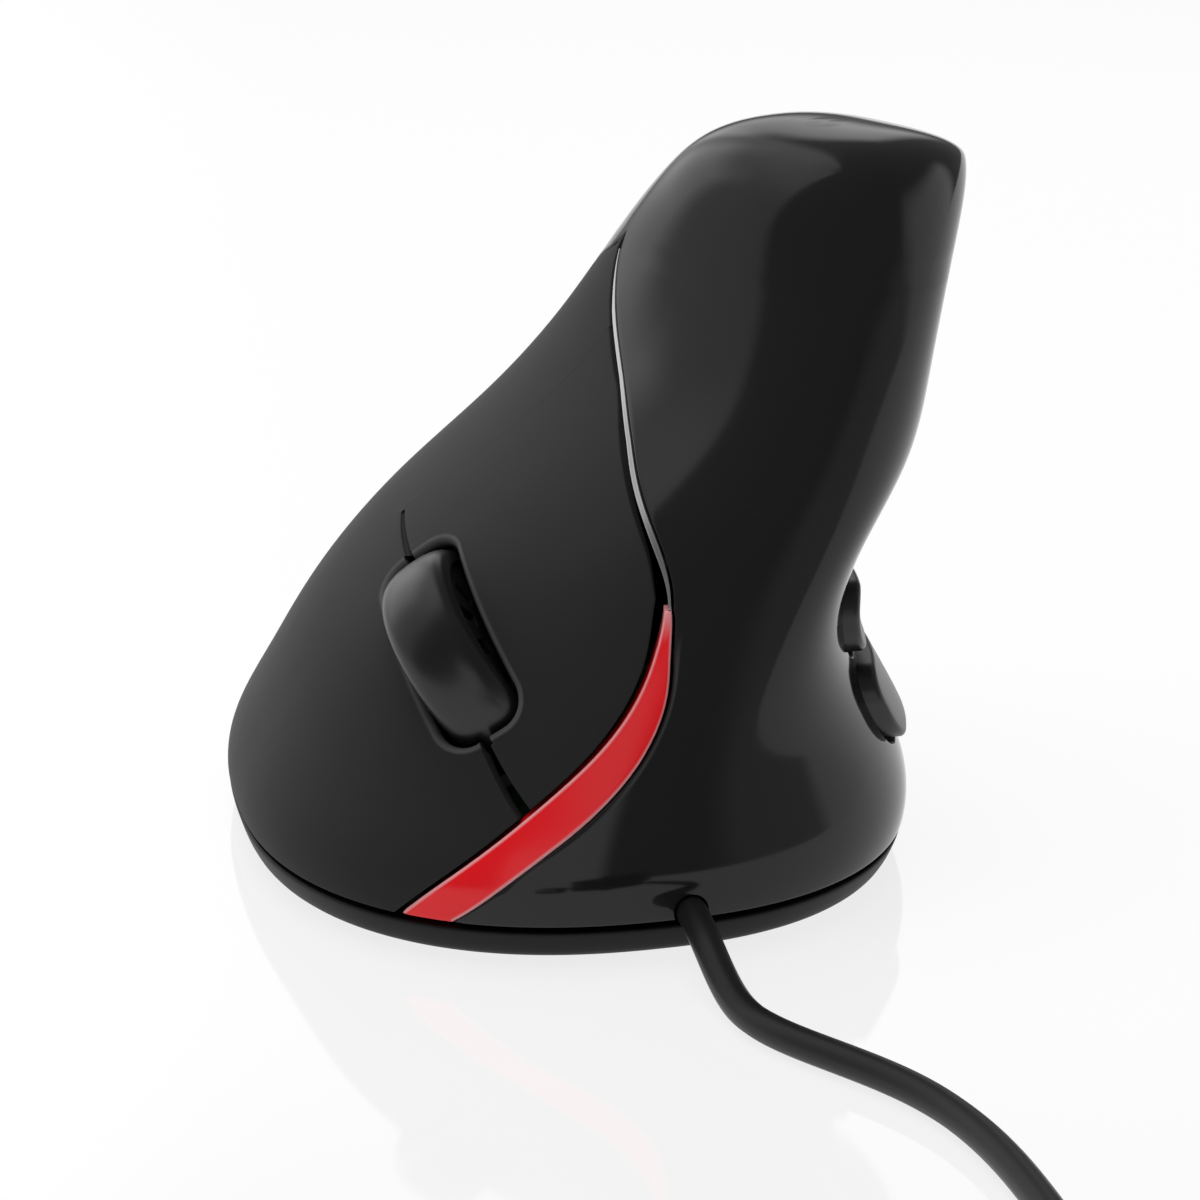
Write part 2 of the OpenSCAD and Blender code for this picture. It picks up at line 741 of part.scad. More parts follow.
// Thumb key: a proud cap that fills its window, a lip behind the shell and a stem to its switch
module thumb_key(up, stations) {
    cols = 12;
    rows = 8;
    function place_at(s, t) = [mix(key_turns[0], key_turns[1], s), mix(stations[0], stations[1], t)];
    grid = [for (i = [0:rows]) [for (j = [0:cols]) place_at(j / cols, i / rows)]];
    lip_top = wall + key_lip_gap;
    place = over(thumb_frame, 0, up * key_rise, thumb_place);
    stem_low = -thumb_board_depth + tact_h + tact_button_h;
    stem_high = into(thumb_frame, skin(place.x, place.y, wall + fuse)).z;
    color("#1c1c1f")
        union() {
            intersection() {
                sheet(grid, -key_proud, lip_top + key_back);
                key_bar(up, 0);
            }
            intersection() {
                sheet(grid, lip_top, lip_top + key_lip_t);
                key_bar(up, key_lip);
            }
            stand_in(thumb_frame)
                translate([0, up * key_rise, stem_low]) cylinder(d = stem_d, h = stem_high - stem_low);
        }
}

module thumb_key_upper() {
    thumb_key(1, upper_stations);
}

module thumb_key_lower() {
    thumb_key(-1, lower_stations);
}

thumb_board_low = board_top + thumb_board_gap - thumb_frame[0].z;

module thumb_board() {
    color("#1f4d2e")
        stand_in(thumb_frame)
            block([-thumb_board_l / 2, thumb_board_low, -thumb_board_depth - board_t],
                  [thumb_board_l / 2, thumb_board_low + thumb_board_h, -thumb_board_depth]);
}

module thumb_header() {
    back = -thumb_board_depth - board_t;
    color("#151517")
        stand_in(thumb_frame)
            block([-header_l / 2, thumb_board_low - thumb_board_gap, back - header_t],
                  [header_l / 2, thumb_board_low + header_t, back]);
}

// A push switch with the well that its button slides in
module tact_body() {
    difference() {
        box_on([0, 0], 0, [tact_w, tact_w, tact_h]);
        translate([0, 0, tact_h - tact_well])
            cylinder(d = tact_button_d + 2 * plunger_room, h = tact_well + past);
    }
}

module tact_button() {
    color("#d8d3c8")
        translate([0, 0, tact_h - tact_hold]) cylinder(d = tact_button_d, h = tact_button_h + tact_hold);
}

module on_thumb_board(up) {
    stand_in(thumb_frame) translate([0, up * key_rise, -thumb_board_depth]) children();
}

module thumb_switches() {
    color("#3a3a3e")
        for (up = [-1, 1])
            on_thumb_board(up) tact_body();
}

module thumb_plunger_upper() {
    on_thumb_board(1) tact_button();
}

module thumb_plunger_lower() {
    on_thumb_board(-1) tact_button();
}

// Scroll wheel: a slotted hub with its axle, and a rubber tyre
hub_r = wheel_r - tyre_t;
axle_l = wheel_w + 2 * (carrier_room + carrier_t) - axle_short;

module on_axle() {
    stand_in(wheel_frame) rotate([-90, 0, 0]) children();
}

module wheel_hub() {
    hub_w = wheel_w - 2 * hub_inset;
    color("#3a3b40")
        on_axle()
            difference() {
                union() {
                    translate([0, 0, -hub_w / 2]) cylinder(r = hub_r, h = hub_w);
                    translate([0, 0, -axle_l / 2]) cylinder(d = axle_d, h = axle_l);
                }
                for (k = [0:hub_slots - 1])
                    rotate([0, 0, 360 / hub_slots * k])
                        translate([hub_slot_r, -hub_slot_w / 2, -wheel_w])
                            cube([hub_r - hub_rim - hub_slot_r, hub_slot_w, 2 * wheel_w]);
            }
}

module wheel_tyre() {
    color("#141416")
        on_axle()
            rotate_extrude()
                intersection() {
                    translate([hub_r, -wheel_w / 2]) square([tyre_t, wheel_w]);
                    translate([hub_r, 0]) rounded_bar(2 * tyre_t, wheel_w, tyre_round);
                }
}

// Frame that carries the wheel's axle and slides on two pins when the wheel is pressed
module wheel_carrier() {
    half = wheel_w / 2 + carrier_room;
    outside = half + carrier_t;
    reach = wheel_r + carrier_end;
    color("#2f3034")
        stand_in(wheel_frame)
            difference() {
                union() {
                    block([-reach - carrier_t, -outside, carrier_low],
                          [reach + carrier_t, outside, carrier_low + carrier_rim]);
                    block([-carrier_cheek, -outside, carrier_low], [carrier_cheek, outside, carrier_high]);
                    carrier_ear(pin_places[0], [-reach, 0]);
                    carrier_ear(pin_places[1], [pin_places[1].x, half]);
                    carrier_ear(tact_place, [tact_place.x, -half]);
                }
                block([-reach, -half, carrier_low - past], [reach, half, carrier_high + past]);
                rotate([-90, 0, 0])
                    translate([0, 0, -outside - past])
                        cylinder(d = axle_d + 2 * axle_room, h = 2 * (outside + past));
                for (p = pin_places)
                    translate([p.x, p.y, carrier_low - past])
                        cylinder(d = pin_d + 2 * pin_room, h = carrier_rim + 2 * past);
            }
}

// A round ear that reaches from the carrier's frame to a pin or to the switch
module carrier_ear(place, root) {
    translate([0, 0, carrier_low])
        linear_extrude(carrier_rim)
            hull()
                for (p = [place, root])
                    translate(p) circle(d = carrier_ear_d, $fn = 32);
}

module guide_pins() {
    low = button_board_top - board_t - bracket_t;
    high = carrier_low + carrier_rim + pin_proud;
    color("#b5b8bc")
        stand_in(wheel_frame)
            for (p = pin_places)
                translate([p.x, p.y, low]) cylinder(d = pin_d, h = high - low);
}

module on_button_board(place) {
    stand_in(wheel_frame) translate([place.x, place.y, button_board_top]) children();
}

module wheel_switch() {
    color("#3a3a3e") on_button_board(tact_place) tact_body();
}

module wheel_plunger() {
    on_button_board(tact_place) tact_button();
}

// The two eyes of the light gate look at each other through the hub's slots
module beam_eye(side) {
    place = [beam_place.x, side * beam_side];
    stand_in(wheel_frame) {
        box_on(place, button_board_top,
            [beam_size.x, beam_size.y, beam_place.y + beam_rise - button_board_top]);
        translate([place.x, side * (beam_side - beam_size.y / 2), beam_place.y])
            rotate([side * 90, 0, 0]) cylinder(d = beam_d, h = beam_proud);
    }
}

module light_emitter() {
    color("#3a4458") beam_eye(1);
}

module light_detector() {
    color("#1a1a20") beam_eye(-1);
}

// Holes for the guide pins and the opening under the wheel, cut from a level of the wheel frame upwards
module pin_holes(level, height, room) {
    for (p = pin_places)
        translate([p.x, p.y, level]) cylinder(d = pin_d + 2 * room, h = height);
}

module wheel_opening(level, height, room) {
    size = button_board_slot + [2 * room, 2 * room];
    translate([0, 0, level])
        linear_extrude(height) rounded_bar(size.x, size.y, size.y / 3);
}

module button_board() {
    low = button_board_top - board_t;
    color("#1f4d2e")
        stand_in(wheel_frame)
            difference() {
                block([button_board_from.x, button_board_from.y, low],
                      [button_board_to.x, button_board_to.y, button_board_top]);
                wheel_opening(low - past, board_t + 2 * past, 0);
                pin_holes(low - past, board_t + 2 * past, seat_gap);
            }
}

// Sloping bracket that holds the button board over the base, on two legs
module board_bracket() {
    top = button_board_top - board_t;
    low = top - bracket_t;
    color("#2f3034")
        difference() {
            union() {
                stand_in(wheel_frame)
                    block([bracket_from.x, bracket_from.y, low], [bracket_to.x, bracket_to.y, top]);
                for (p = leg_places)
                    bracket_leg(p, (low + top) / 2);
            }
            stand_in(wheel_frame) {
                wheel_opening(low - wheel_d, bracket_t + wheel_d + past, bracket_slot_room);
                pin_holes(low - past, bracket_t + 2 * past, 0);
            }
        }
}

module bracket_leg(place, level) {
    top = out_of(wheel_frame, [place.x, place.y, level]);
    hull() {
        stand_in(wheel_frame) translate([place.x, place.y, level]) cube(leg_top, center = true);
        box_on(top, floor_top, leg_foot);
    }
}

module finger_switch(side) {
    color("#17181a")
        on_button_board([switch_back, side])
            difference() {
                box_on([0, 0], 0, [switch_l, switch_w, switch_h]);
                translate([0, 0, switch_h - plunger_well])
                    cylinder(d = plunger_d + 2 * plunger_room, h = plunger_well + past);
            }
}

module finger_plunger(side) {
    color("#e5e1d6")
        on_button_board([switch_back, side])
            translate([0, 0, switch_h - plunger_hold])
                cylinder(d = plunger_d, h = plunger_proud + plunger_hold);
}

module index_switch() {
    finger_switch(switch_side);
}

module index_plunger() {
    finger_plunger(switch_side);
}

module middle_switch() {
    finger_switch(-switch_side);
}

module middle_plunger() {
    finger_plunger(-switch_side);
}

// Main board on its stands, with the sensor over its window
module main_board() {
    color("#1f4d2e")
        difference() {
            block([board_from.x, board_from.y, board_low], [board_to.x, board_to.y, board_top]);
            for (p = board_holes)
                translate([p.x, p.y, board_low - past])
                    cylinder(d = board_screw_d + 2 * screw_room, h = board_t + 2 * past);
            translate([sensor_place.x, sensor_place.y, board_low - past])
                linear_extrude(board_t + 2 * past)
                    rounded_bar(sensor_window.x, sensor_window.y, sensor_window.y / 3);
        }
}

module board_screws() {
    length = head_h + board_t + board_stand - board_screw_short;
    color("#9a9da2")
        for (p = board_holes)
            translate([p.x, p.y, board_top + head_h]) mirror([0, 0, 1]) screw(board_screw_d, length);
}

module sensor_chip() {
    color("#101012") box_on(sensor_place, board_top, sensor_size);
}

module sensor_lens() {
    color("#cfe0e6") {
        box_on(sensor_place, floor_top, [lens_size.x, lens_size.y, board_stand]);
        translate([sensor_place.x, sensor_place.y, floor_top - lens_dip])
            cylinder(d = lens_d, h = lens_dip + fuse);
    }
}

module sensor_lamp() {
    color("#d03a34")
        translate([lamp_place.x, lamp_place.y, board_top]) {
            cylinder(d = lamp_d, h = lamp_h);
            translate([0, 0, lamp_h]) sphere(d = lamp_d);
        }
}

module controller_chip() {
    color("#101012") box_on(controller_place, board_top, controller_size);
}

module cord_connector() {
    place = [lead_route[0].x, lead_route[0].y - connector_size.y / 2];
    color("#e4ddcb") box_on(place, board_top, connector_size);
}

// Grommet that rests on the base floor and grips the cord inside the shell
module cord_grommet() {
    color("#17171a")
        translate([cord_exit.x, cord_exit.y - grommet_back, cord_exit.z])
            rotate([-90, 0, 0])
                difference() {
                    cylinder(d = grommet_d, h = grommet_l);
                    translate([0, 0, -past])
                        cylinder(d = cord_d + 2 * grommet_room, h = grommet_l + 2 * past);
                }
}

module cord_lead() {
    color("#17171a") tube([for (i = [0:lead_rows]) along(lead_route, i / lead_rows)], cord_d, tube_sides);
}

// The coil spirals in and out again, layer on layer, and climbs in the half turn where it reverses
function coil_radius(layer, share) =
    layer % 2 == 0 ? mix(coil_outer, coil_r, share) : mix(coil_r, coil_outer, share);
function coil_level(q, layer) =
    let (nearest = round(q / coil_turns), off = q - nearest * coil_turns)
    let (s = off / coil_climb + 0.5)
    nearest == 0 || nearest == coil_layers || s < 0 || s > 1
        ? layer
        : nearest - 1 + s * s * (3 - 2 * s);
function coil_point(q) =
    let (layer = min(floor(q / coil_turns), coil_layers - 1))
    let (r = coil_radius(layer, q / coil_turns - layer), turn = 180 - 360 * q)
    [coil_middle.x + r * cos(turn),
     coil_middle.y + r * sin(turn),
     coil_low + coil_level(q, layer) * coil_step];

coil_count = coil_turns * coil_layers * coil_rings;
coil_points = [for (i = [0:coil_count]) coil_point(i / coil_rings)];
coil_first = coil_points[0] - [0, coil_stub, 0];
coil_last = coil_points[coil_count] + [0, coil_stub, 0];

// The least gap between turns and the coil's length, measured on its points
coil_spans = [
    for (i = [0:coil_count]) for (j = [i + coil_rings / 2:coil_count])
        norm(coil_points[i] - coil_points[j])
];
coil_steps = [for (i = [1:coil_count]) norm(coil_points[i] - coil_points[i - 1])];
echo(coil_gap = min(coil_spans) - cord_d, coil_length = coil_steps * [for (s = coil_steps) 1]);

module cord_coil() {
    color("#17171a") tube(concat([coil_first], coil_points, [coil_last]), cord_d, coil_sides);
}

// The tail comes off the top layer and runs down round the outside of the coil to the plug
function tail_point(s) =
    let (ease = s * s * (3 - 2 * s), r = coil_outer + tail_out * ease, turn = 180 - 180 * s)
    [coil_middle.x + r * cos(turn), coil_last.y + cord_d + r * sin(turn), mix(coil_last.z, plug_z, ease)];

plug_start = tail_point(1) - [0, 2 * cord_d, 0];

module cord_tail() {
    route = [for (i = [0:tail_rows]) tail_point(i / tail_rows)];
    color("#17171a") tube(concat([coil_last], route, [plug_start]), cord_d, tube_sides);
}

// A strap round the coil's turns, on the side towards the mouse
module cord_tie() {
    rise = (coil_layers - 1) * coil_step;
    inside = [coil_outer - coil_r + cord_d + 2 * tie_room, rise + cord_d + 2 * tie_room];
    color("#2a2a2d")
        translate([coil_middle.x + tie_w / 2, coil_middle.y - (coil_outer + coil_r) / 2, coil_low + rise / 2])
            rotate([90, 0, -90])
                linear_extrude(tie_w)
                    difference() {
                        square(inside + [2 * tie_t, 2 * tie_t], center = true);
                        square(inside, center = true);
                    }
}

// The plug's pieces point back past the mouse, from the end of the tail
module on_plug(distance) {
    translate(plug_start) rotate([90, 0, 0]) translate([0, 0, distance]) children();
}

module plug_grip() {
    color("#17171a")
        difference() {
            union() {
                on_plug(grip_neck)
                    linear_extrude(grip_size.y - grip_neck) rounded_bar(grip_size.x, grip_size.z, grip_round);
                on_plug(0)
                    hull() {
                        linear_extrude(grip_skin) circle(d = grip_neck_d, $fn = 32);
                        translate([0, 0, grip_neck])
                            linear_extrude(grip_skin)
                                rounded_bar(grip_shoulder.x, grip_shoulder.y, grip_round, $fn = 32);
                    }
            }
            on_plug(grip_size.y - shell_hold)
                linear_extrude(shell_hold + past) square([shell_size.x, shell_size.z], center = true);
        }
}

module plug_shell() {
    color("#c9ccd0")
        on_plug(grip_size.y - shell_hold)
            linear_extrude(shell_size.y + shell_hold)
                difference() {
                    square([shell_size.x, shell_size.z], center = true);
                    square([shell_size.x - 2 * shell_t, shell_size.z - 2 * shell_t], center = true);
                }
}

module plug_tongue() {
    color("#e9e9ea")
        on_plug(grip_size.y - shell_hold)
            translate([-shell_size.x / 2 + shell_t, shell_size.z / 2 - shell_t - tongue_t, 0])
                cube([shell_size.x - 2 * shell_t, tongue_t, shell_size.y + shell_hold - tongue_short]);
}

base_plate();
main_shell();
finger_panel();
index_button();
middle_button();
accent_stripe();
accent_line();
glide_feet();
case_screws();
thumb_key_upper();
thumb_key_lower();
thumb_board();
thumb_header();
thumb_switches();
thumb_plunger_upper();
thumb_plunger_lower();
wheel_hub();
wheel_tyre();
wheel_carrier();
guide_pins();
wheel_switch();
wheel_plunger();
light_emitter();
light_detector();
button_board();
board_bracket();
index_switch();
index_plunger();
middle_switch();
middle_plunger();
main_board();
board_screws();
sensor_chip();
sensor_lens();
sensor_lamp();
controller_chip();
cord_connector();
cord_grommet();
cord_lead();
cord_coil();
cord_tail();
cord_tie();
plug_grip();
plug_shell();
plug_tongue();
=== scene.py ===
"""Looks of a vertical ergonomic mouse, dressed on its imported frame.

The frame is in metres: +X to the fingers, +Y to the front, +Z up, with the origin on the desk.
Sizes and places of the mouse are in millimetres here, and a mesh is scaled to metres when it is made.
The studio's floor, lamp and clipping, and the depth of a finish's grain, are in metres.
"""

import json
import logging
import math
from collections.abc import Iterable, Sequence
from dataclasses import dataclass, field
from enum import Enum

import bpy
import numpy as np
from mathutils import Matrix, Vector
from mathutils.kdtree import KDTree


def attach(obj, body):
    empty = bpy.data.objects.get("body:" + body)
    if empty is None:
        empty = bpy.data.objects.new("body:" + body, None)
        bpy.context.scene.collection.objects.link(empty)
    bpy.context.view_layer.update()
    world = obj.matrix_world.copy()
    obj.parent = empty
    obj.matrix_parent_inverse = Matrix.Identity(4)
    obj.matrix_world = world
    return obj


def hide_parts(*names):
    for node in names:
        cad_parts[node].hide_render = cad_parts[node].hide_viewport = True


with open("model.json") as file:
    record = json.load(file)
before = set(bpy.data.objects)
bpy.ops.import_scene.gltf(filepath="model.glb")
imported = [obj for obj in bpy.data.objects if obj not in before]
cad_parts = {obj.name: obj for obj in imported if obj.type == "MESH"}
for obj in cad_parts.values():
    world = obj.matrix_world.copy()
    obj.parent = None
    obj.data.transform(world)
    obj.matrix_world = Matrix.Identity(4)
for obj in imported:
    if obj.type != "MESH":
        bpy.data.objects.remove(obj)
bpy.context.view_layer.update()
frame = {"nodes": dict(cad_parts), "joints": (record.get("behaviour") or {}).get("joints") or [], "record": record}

LOG = logging.getLogger("mouse")
MM = 0.001
DEGREES = 180 / math.pi
X, Y, Z = np.eye(3)

# Mask of the painted highlight along rounded rims: its attribute, its width in millimetres and its ramp.
RIM_HIGHLIGHT_NAME = "rim"
RIM_WIDTH = 0.5
RIM_RAMP = (0.25, 0.8)

Triple = tuple[float, float, float]
Colour = Triple
Guide = tuple[float, ...]
Places = tuple[tuple[float, ...], ...]
Bar = tuple[float, float, float, int]
Faces = list[tuple[int, ...]]


class Body(Enum):
    """The bodies of the frame that pieces ride on."""

    HOUSING = "housing"
    INDEX = "index_finger_button"
    MIDDLE = "middle_finger_button"
    WHEEL = "wheel"
    UPPER_KEY = "upper_thumb_key"
    LOWER_KEY = "lower_thumb_key"


class Slot(Enum):
    """The record's material slots."""

    GLOSS_SHELL = "gloss_shell"
    SATIN_PANEL = "satin_panel"
    BASE = "base"
    STRIPE = "stripe"
    LINE = "line"
    KEYS = "keys"
    FEET = "feet"
    TYRE = "tyre"
    HUB = "hub"
    FRAME_PLASTIC = "frame_plastic"
    BOARD = "board"
    CHIP = "chip"
    SWITCH = "switch"
    PLUNGER = "plunger"
    LENS = "lens"
    LAMP = "lamp"
    CONNECTOR = "connector"
    STEEL = "steel"
    CORD = "cord"
    PLUG_METAL = "plug_metal"
    TONGUE = "tongue"


class Side(Enum):
    """Above or below: a finger button beside the slit, or a thumb key of the pair."""

    UPPER = 1
    LOWER = -1


# Shader expressions


@dataclass(frozen=True)
class Field:
    """One output of a node tree, with the arithmetic of plain numbers."""

    graph: "NodeGraph"
    socket: bpy.types.NodeSocket

    def _math(self, operation: str, first: "Field | float", second: "Field | float") -> "Field":
        """The result of one Math node."""
        return self.graph.node("ShaderNodeMath", {"operation": operation}, {0: first, 1: second})

    def __add__(self, other: "Field | float") -> "Field":
        """Sum of two values."""
        return self._math("ADD", self, other)

    def __radd__(self, other: float) -> "Field":
        """Sum with a number on the left."""
        return self._math("ADD", other, self)

    def __sub__(self, other: "Field | float") -> "Field":
        """Difference of two values."""
        return self._math("SUBTRACT", self, other)

    def __rsub__(self, other: float) -> "Field":
        """Difference from a number on the left."""
        return self._math("SUBTRACT", other, self)

    def __mul__(self, other: "Field | float") -> "Field":
        """Product of two values."""
        return self._math("MULTIPLY", self, other)

    def __rmul__(self, other: float) -> "Field":
        """Product with a number on the left."""
        return self._math("MULTIPLY", other, self)

    def at_least(self, other: "Field | float") -> "Field":
        """The larger of two values."""
        return self._math("MAXIMUM", self, other)

    def ramp(self, low: float, high: float) -> "Field":
        """A smooth step from 0 at one value to 1 at another."""
        settings = {"interpolation_type": "SMOOTHSTEP"}
        return self.graph.node("ShaderNodeMapRange", settings, {0: self, 1: low, 2: high})


@dataclass(frozen=True)
class NodeGraph:
    """A shader node tree that is filled by expressions."""

    tree: bpy.types.NodeTree

    def node(
        self,
        kind: str,
        settings: dict | None = None,
        inputs: dict | None = None,
        output: str | int = 0,
    ) -> Field:
        """Add any node.

        Args:
            kind: The node's type.
            settings: Its own settings, which are set first.
            inputs: Values or links of its sockets, by name or number.
            output: The output that is wanted, by name or number.

        Returns:
            That output.
        """
        made = self.tree.nodes.new(kind)
        for key, value in (settings or {}).items():
            setattr(made, key, value)
        for key, value in (inputs or {}).items():
            if isinstance(value, Field):
                self.tree.links.new(value.socket, made.inputs[key])
            else:
                made.inputs[key].default_value = value
        return Field(self, made.outputs[output] if made.outputs else None)

    def place(self, stretch: Triple = (1, 1, 1)) -> Field:
        """Object coordinates, stretched along the axes."""
        here = self.node("ShaderNodeTexCoord", output="Object")
        return self.node("ShaderNodeMapping", inputs={"Vector": here, "Scale": stretch})

    def noise(self, scale: float, detail: float = 2.0, stretch: Triple = (1, 1, 1)) -> Field:
        """Soft noise from 0 to 1, with its scale in cycles per metre."""
        inputs = {"Vector": self.place(stretch), "Scale": scale, "Detail": detail}
        return self.node("ShaderNodeTexNoise", inputs=inputs)

    def blend(self, mask: Field, low: "Field | Colour", high: "Field | Colour") -> Field:
        """A mix of two colours: the first where the mask is 0, and the second where it is 1."""
        pair = [c if isinstance(c, Field) else (*c, 1) for c in (low, high)]
        return self.node("ShaderNodeMix", {"data_type": "RGBA"}, {0: mask, 6: pair[0], 7: pair[1]}, 2)


def blank_graph(owner: bpy.types.Material | bpy.types.World) -> NodeGraph:
    """Give a material or a world an empty node tree.

    Args:
        owner: The material or the world.

    Returns:
        Its tree.
    """
    owner.use_nodes = True
    owner.node_tree.nodes.clear()
    return NodeGraph(owner.node_tree)


# Finishes


@dataclass(frozen=True)
class Finish:
    """A moulded or plated surface whose colour, gloss and grain vary a little."""

    slot: Slot
    colour: Colour
    roughness: float
    mottle: float = 0.12
    mottle_scale: float = 60.0
    mottle_detail: float = 3.0
    smudge: float = 0.05
    smudge_fineness: float = 4.0
    smudge_detail: float = 4.0
    grain: float = 2500.0
    relief: float = 0.1
    depth: float = 0.00004
    metallic: float = 0.0
    specular: float = 0.5
    transmission: float = 0.0
    stretch: Triple = (1, 1, 1)
    label: str = "moulded"

    def colours(self, graph: NodeGraph) -> Field:
        """The colour, a little lighter and darker from place to place.

        Args:
            graph: The material's node tree.

        Returns:
            The base colour.
        """
        dark = tuple(c * (1 - self.mottle) for c in self.colour)
        light = tuple(c * (1 + self.mottle) for c in self.colour)
        return graph.blend(graph.noise(self.mottle_scale, self.mottle_detail, self.stretch), dark, light)

    def gloss(self, graph: NodeGraph) -> Field:
        """The roughness, with faint smudges."""
        smudges = graph.noise(self.smudge_fineness * self.mottle_scale, self.smudge_detail, self.stretch)
        return self.roughness + self.smudge * (smudges - 0.5)

    def relief_of(self, graph: NodeGraph) -> Field:
        """The height that the moulded grain is made from."""
        return graph.noise(self.grain, stretch=self.stretch)

    def material(self) -> bpy.types.Material:
        """Make the material, or find it if it is made.

        Returns:
            The material of this finish.
        """
        name = f"{self.label}_{self.slot.value}"
        known = bpy.data.materials.get(name)
        if known:
            return known
        made = bpy.data.materials.new(name)
        graph = blank_graph(made)
        grain = {"Strength": self.relief, "Distance": self.depth, "Height": self.relief_of(graph)}
        bump = graph.node("ShaderNodeBump", inputs=grain)
        surface = graph.node(
            "ShaderNodeBsdfPrincipled",
            inputs={
                "Base Color": self.colours(graph),
                "Roughness": self.gloss(graph),
                "Metallic": self.metallic,
                "Specular IOR Level": self.specular,
                "Transmission Weight": self.transmission,
                "Normal": bump,
            },
        )
        graph.node("ShaderNodeOutputMaterial", inputs={"Surface": surface})
        return made


@dataclass(frozen=True)
class RimHighlightFinish(Finish):
    """A moulded or lacquered surface with a painted highlight along its rounded rims."""

    # edge: the colour of the painted highlight along the rim.
    edge: Colour = (1, 1, 1)
    highlight_share: float = 0.7

    def colours(self, graph: NodeGraph) -> Field:
        """The surface's colour, with a painted highlight that makes it paler along the rim."""
        rim = graph.node("ShaderNodeAttribute", {"attribute_name": RIM_HIGHLIGHT_NAME}, output="Fac")
        return graph.blend(self.highlight_share * rim.ramp(*RIM_RAMP), super().colours(graph), self.edge)


@dataclass(frozen=True)
class BoardFinish(Finish):
    """Green lacquer over a circuit board, with paler copper runs."""

    run: Colour = (0.03, 0.16, 0.06)
    run_scale: float = 260.0
    run_jitter: float = 0.6
    run_edge: tuple[float, float] = (0.30, 0.36)

    def colours(self, graph: NodeGraph) -> Field:
        """The lacquer, with runs in a rectangular maze.

        Args:
            graph: The material's node tree.

        Returns:
            The base colour.
        """
        settings = {"distance": "CHEBYCHEV", "feature": "F1"}
        inputs = {"Vector": graph.place(), "Scale": self.run_scale, "Randomness": self.run_jitter}
        cell = graph.node("ShaderNodeTexVoronoi", settings, inputs, "Distance")
        return graph.blend(cell.ramp(*self.run_edge), super().colours(graph), self.run)


FINISHES: dict[Slot, Finish] = {
    finish.slot: finish
    for finish in (
        Finish(
            Slot.GLOSS_SHELL, (0.0100, 0.0100, 0.0103), 0.08, smudge=0.03, grain=700.0, relief=0.008,
            specular=0.32,
        ),
        # The satin's paler rim colour is a painted highlight: a pale halo round the wheel's slot.
        RimHighlightFinish(
            Slot.SATIN_PANEL, (0.0205, 0.0205, 0.0210), 0.52, grain=5200.0, relief=0.10, specular=0.10,
            edge=(0.07, 0.07, 0.071), highlight_share=0.9,
        ),
        Finish(Slot.BASE, (0.008, 0.008, 0.0085), 0.5, grain=3600.0, relief=0.16, specular=0.18),
        # The stripe's pink rim colour is a painted highlight along its edges and over its tip.
        RimHighlightFinish(
            Slot.STRIPE, (0.84, 0.008, 0.014), 0.16, mottle=0.05, smudge=0.03, grain=900.0, relief=0.01,
            specular=0.35, edge=(0.72, 0.36, 0.38), highlight_share=0.85,
        ),
        # The line's paler rim colour is a painted highlight along its edges.
        RimHighlightFinish(
            Slot.LINE, (0.34, 0.345, 0.35), 0.28, metallic=0.9, relief=0.03, edge=(0.5, 0.5, 0.5),
            stretch=(1, 1, 6),
        ),
        Finish(Slot.KEYS, (0.016, 0.016, 0.017), 0.34, grain=5200.0, relief=0.08),
        Finish(Slot.FEET, (0.62, 0.62, 0.60), 0.5, mottle=0.06, grain=1500.0, relief=0.08),
        Finish(Slot.TYRE, (0.006, 0.006, 0.0065), 0.3, smudge=0.06, grain=4200.0, relief=0.05),
        Finish(Slot.HUB, (0.007, 0.007, 0.008), 0.4),
        Finish(Slot.FRAME_PLASTIC, (0.028, 0.029, 0.032), 0.48, relief=0.14),
        BoardFinish(Slot.BOARD, (0.012, 0.075, 0.026), 0.3, relief=0.06),
        Finish(Slot.CHIP, (0.006, 0.006, 0.007), 0.55, grain=6000.0, relief=0.12),
        Finish(Slot.SWITCH, (0.012, 0.013, 0.014), 0.42),
        Finish(Slot.PLUNGER, (0.68, 0.64, 0.55), 0.4),
        Finish(Slot.LENS, (0.80, 0.90, 0.93), 0.06, smudge=0.03, relief=0.02, transmission=0.9),
        Finish(Slot.LAMP, (0.62, 0.045, 0.035), 0.12, smudge=0.04, relief=0.02, transmission=0.5),
        Finish(Slot.CONNECTOR, (0.72, 0.66, 0.52), 0.45),
        Finish(Slot.STEEL, (0.50, 0.51, 0.53), 0.32, metallic=1.0, smudge=0.12, relief=0.05),
        Finish(Slot.CORD, (0.007, 0.007, 0.0075), 0.44, grain=3200.0, relief=0.16, specular=0.4),
        Finish(
            Slot.PLUG_METAL, (0.66, 0.67, 0.69), 0.24, metallic=1.0, smudge=0.14, relief=0.05,
            stretch=(1, 8, 1),
        ),
        Finish(Slot.TONGUE, (0.70, 0.70, 0.71), 0.42),
    )
}

CONTACT_GOLD = (0.78, 0.52, 0.16)


# Meshes

SHARP_EDGE = 40.0
ROUNDING_STEPS = 2
ROUND_SIDES = 48
CUT_PAST = 1.0
WELD_REACH = 0.001


def placed(name: str, data: bpy.types.ID) -> bpy.types.Object:
    """Put a mesh, a curve, a camera or a lamp into the scene, at the origin.

    Args:
        name: The new object's name.
        data: What it shows.

    Returns:
        The new object.
    """
    made = bpy.data.objects.new(name, data)
    bpy.context.scene.collection.objects.link(made)
    return made


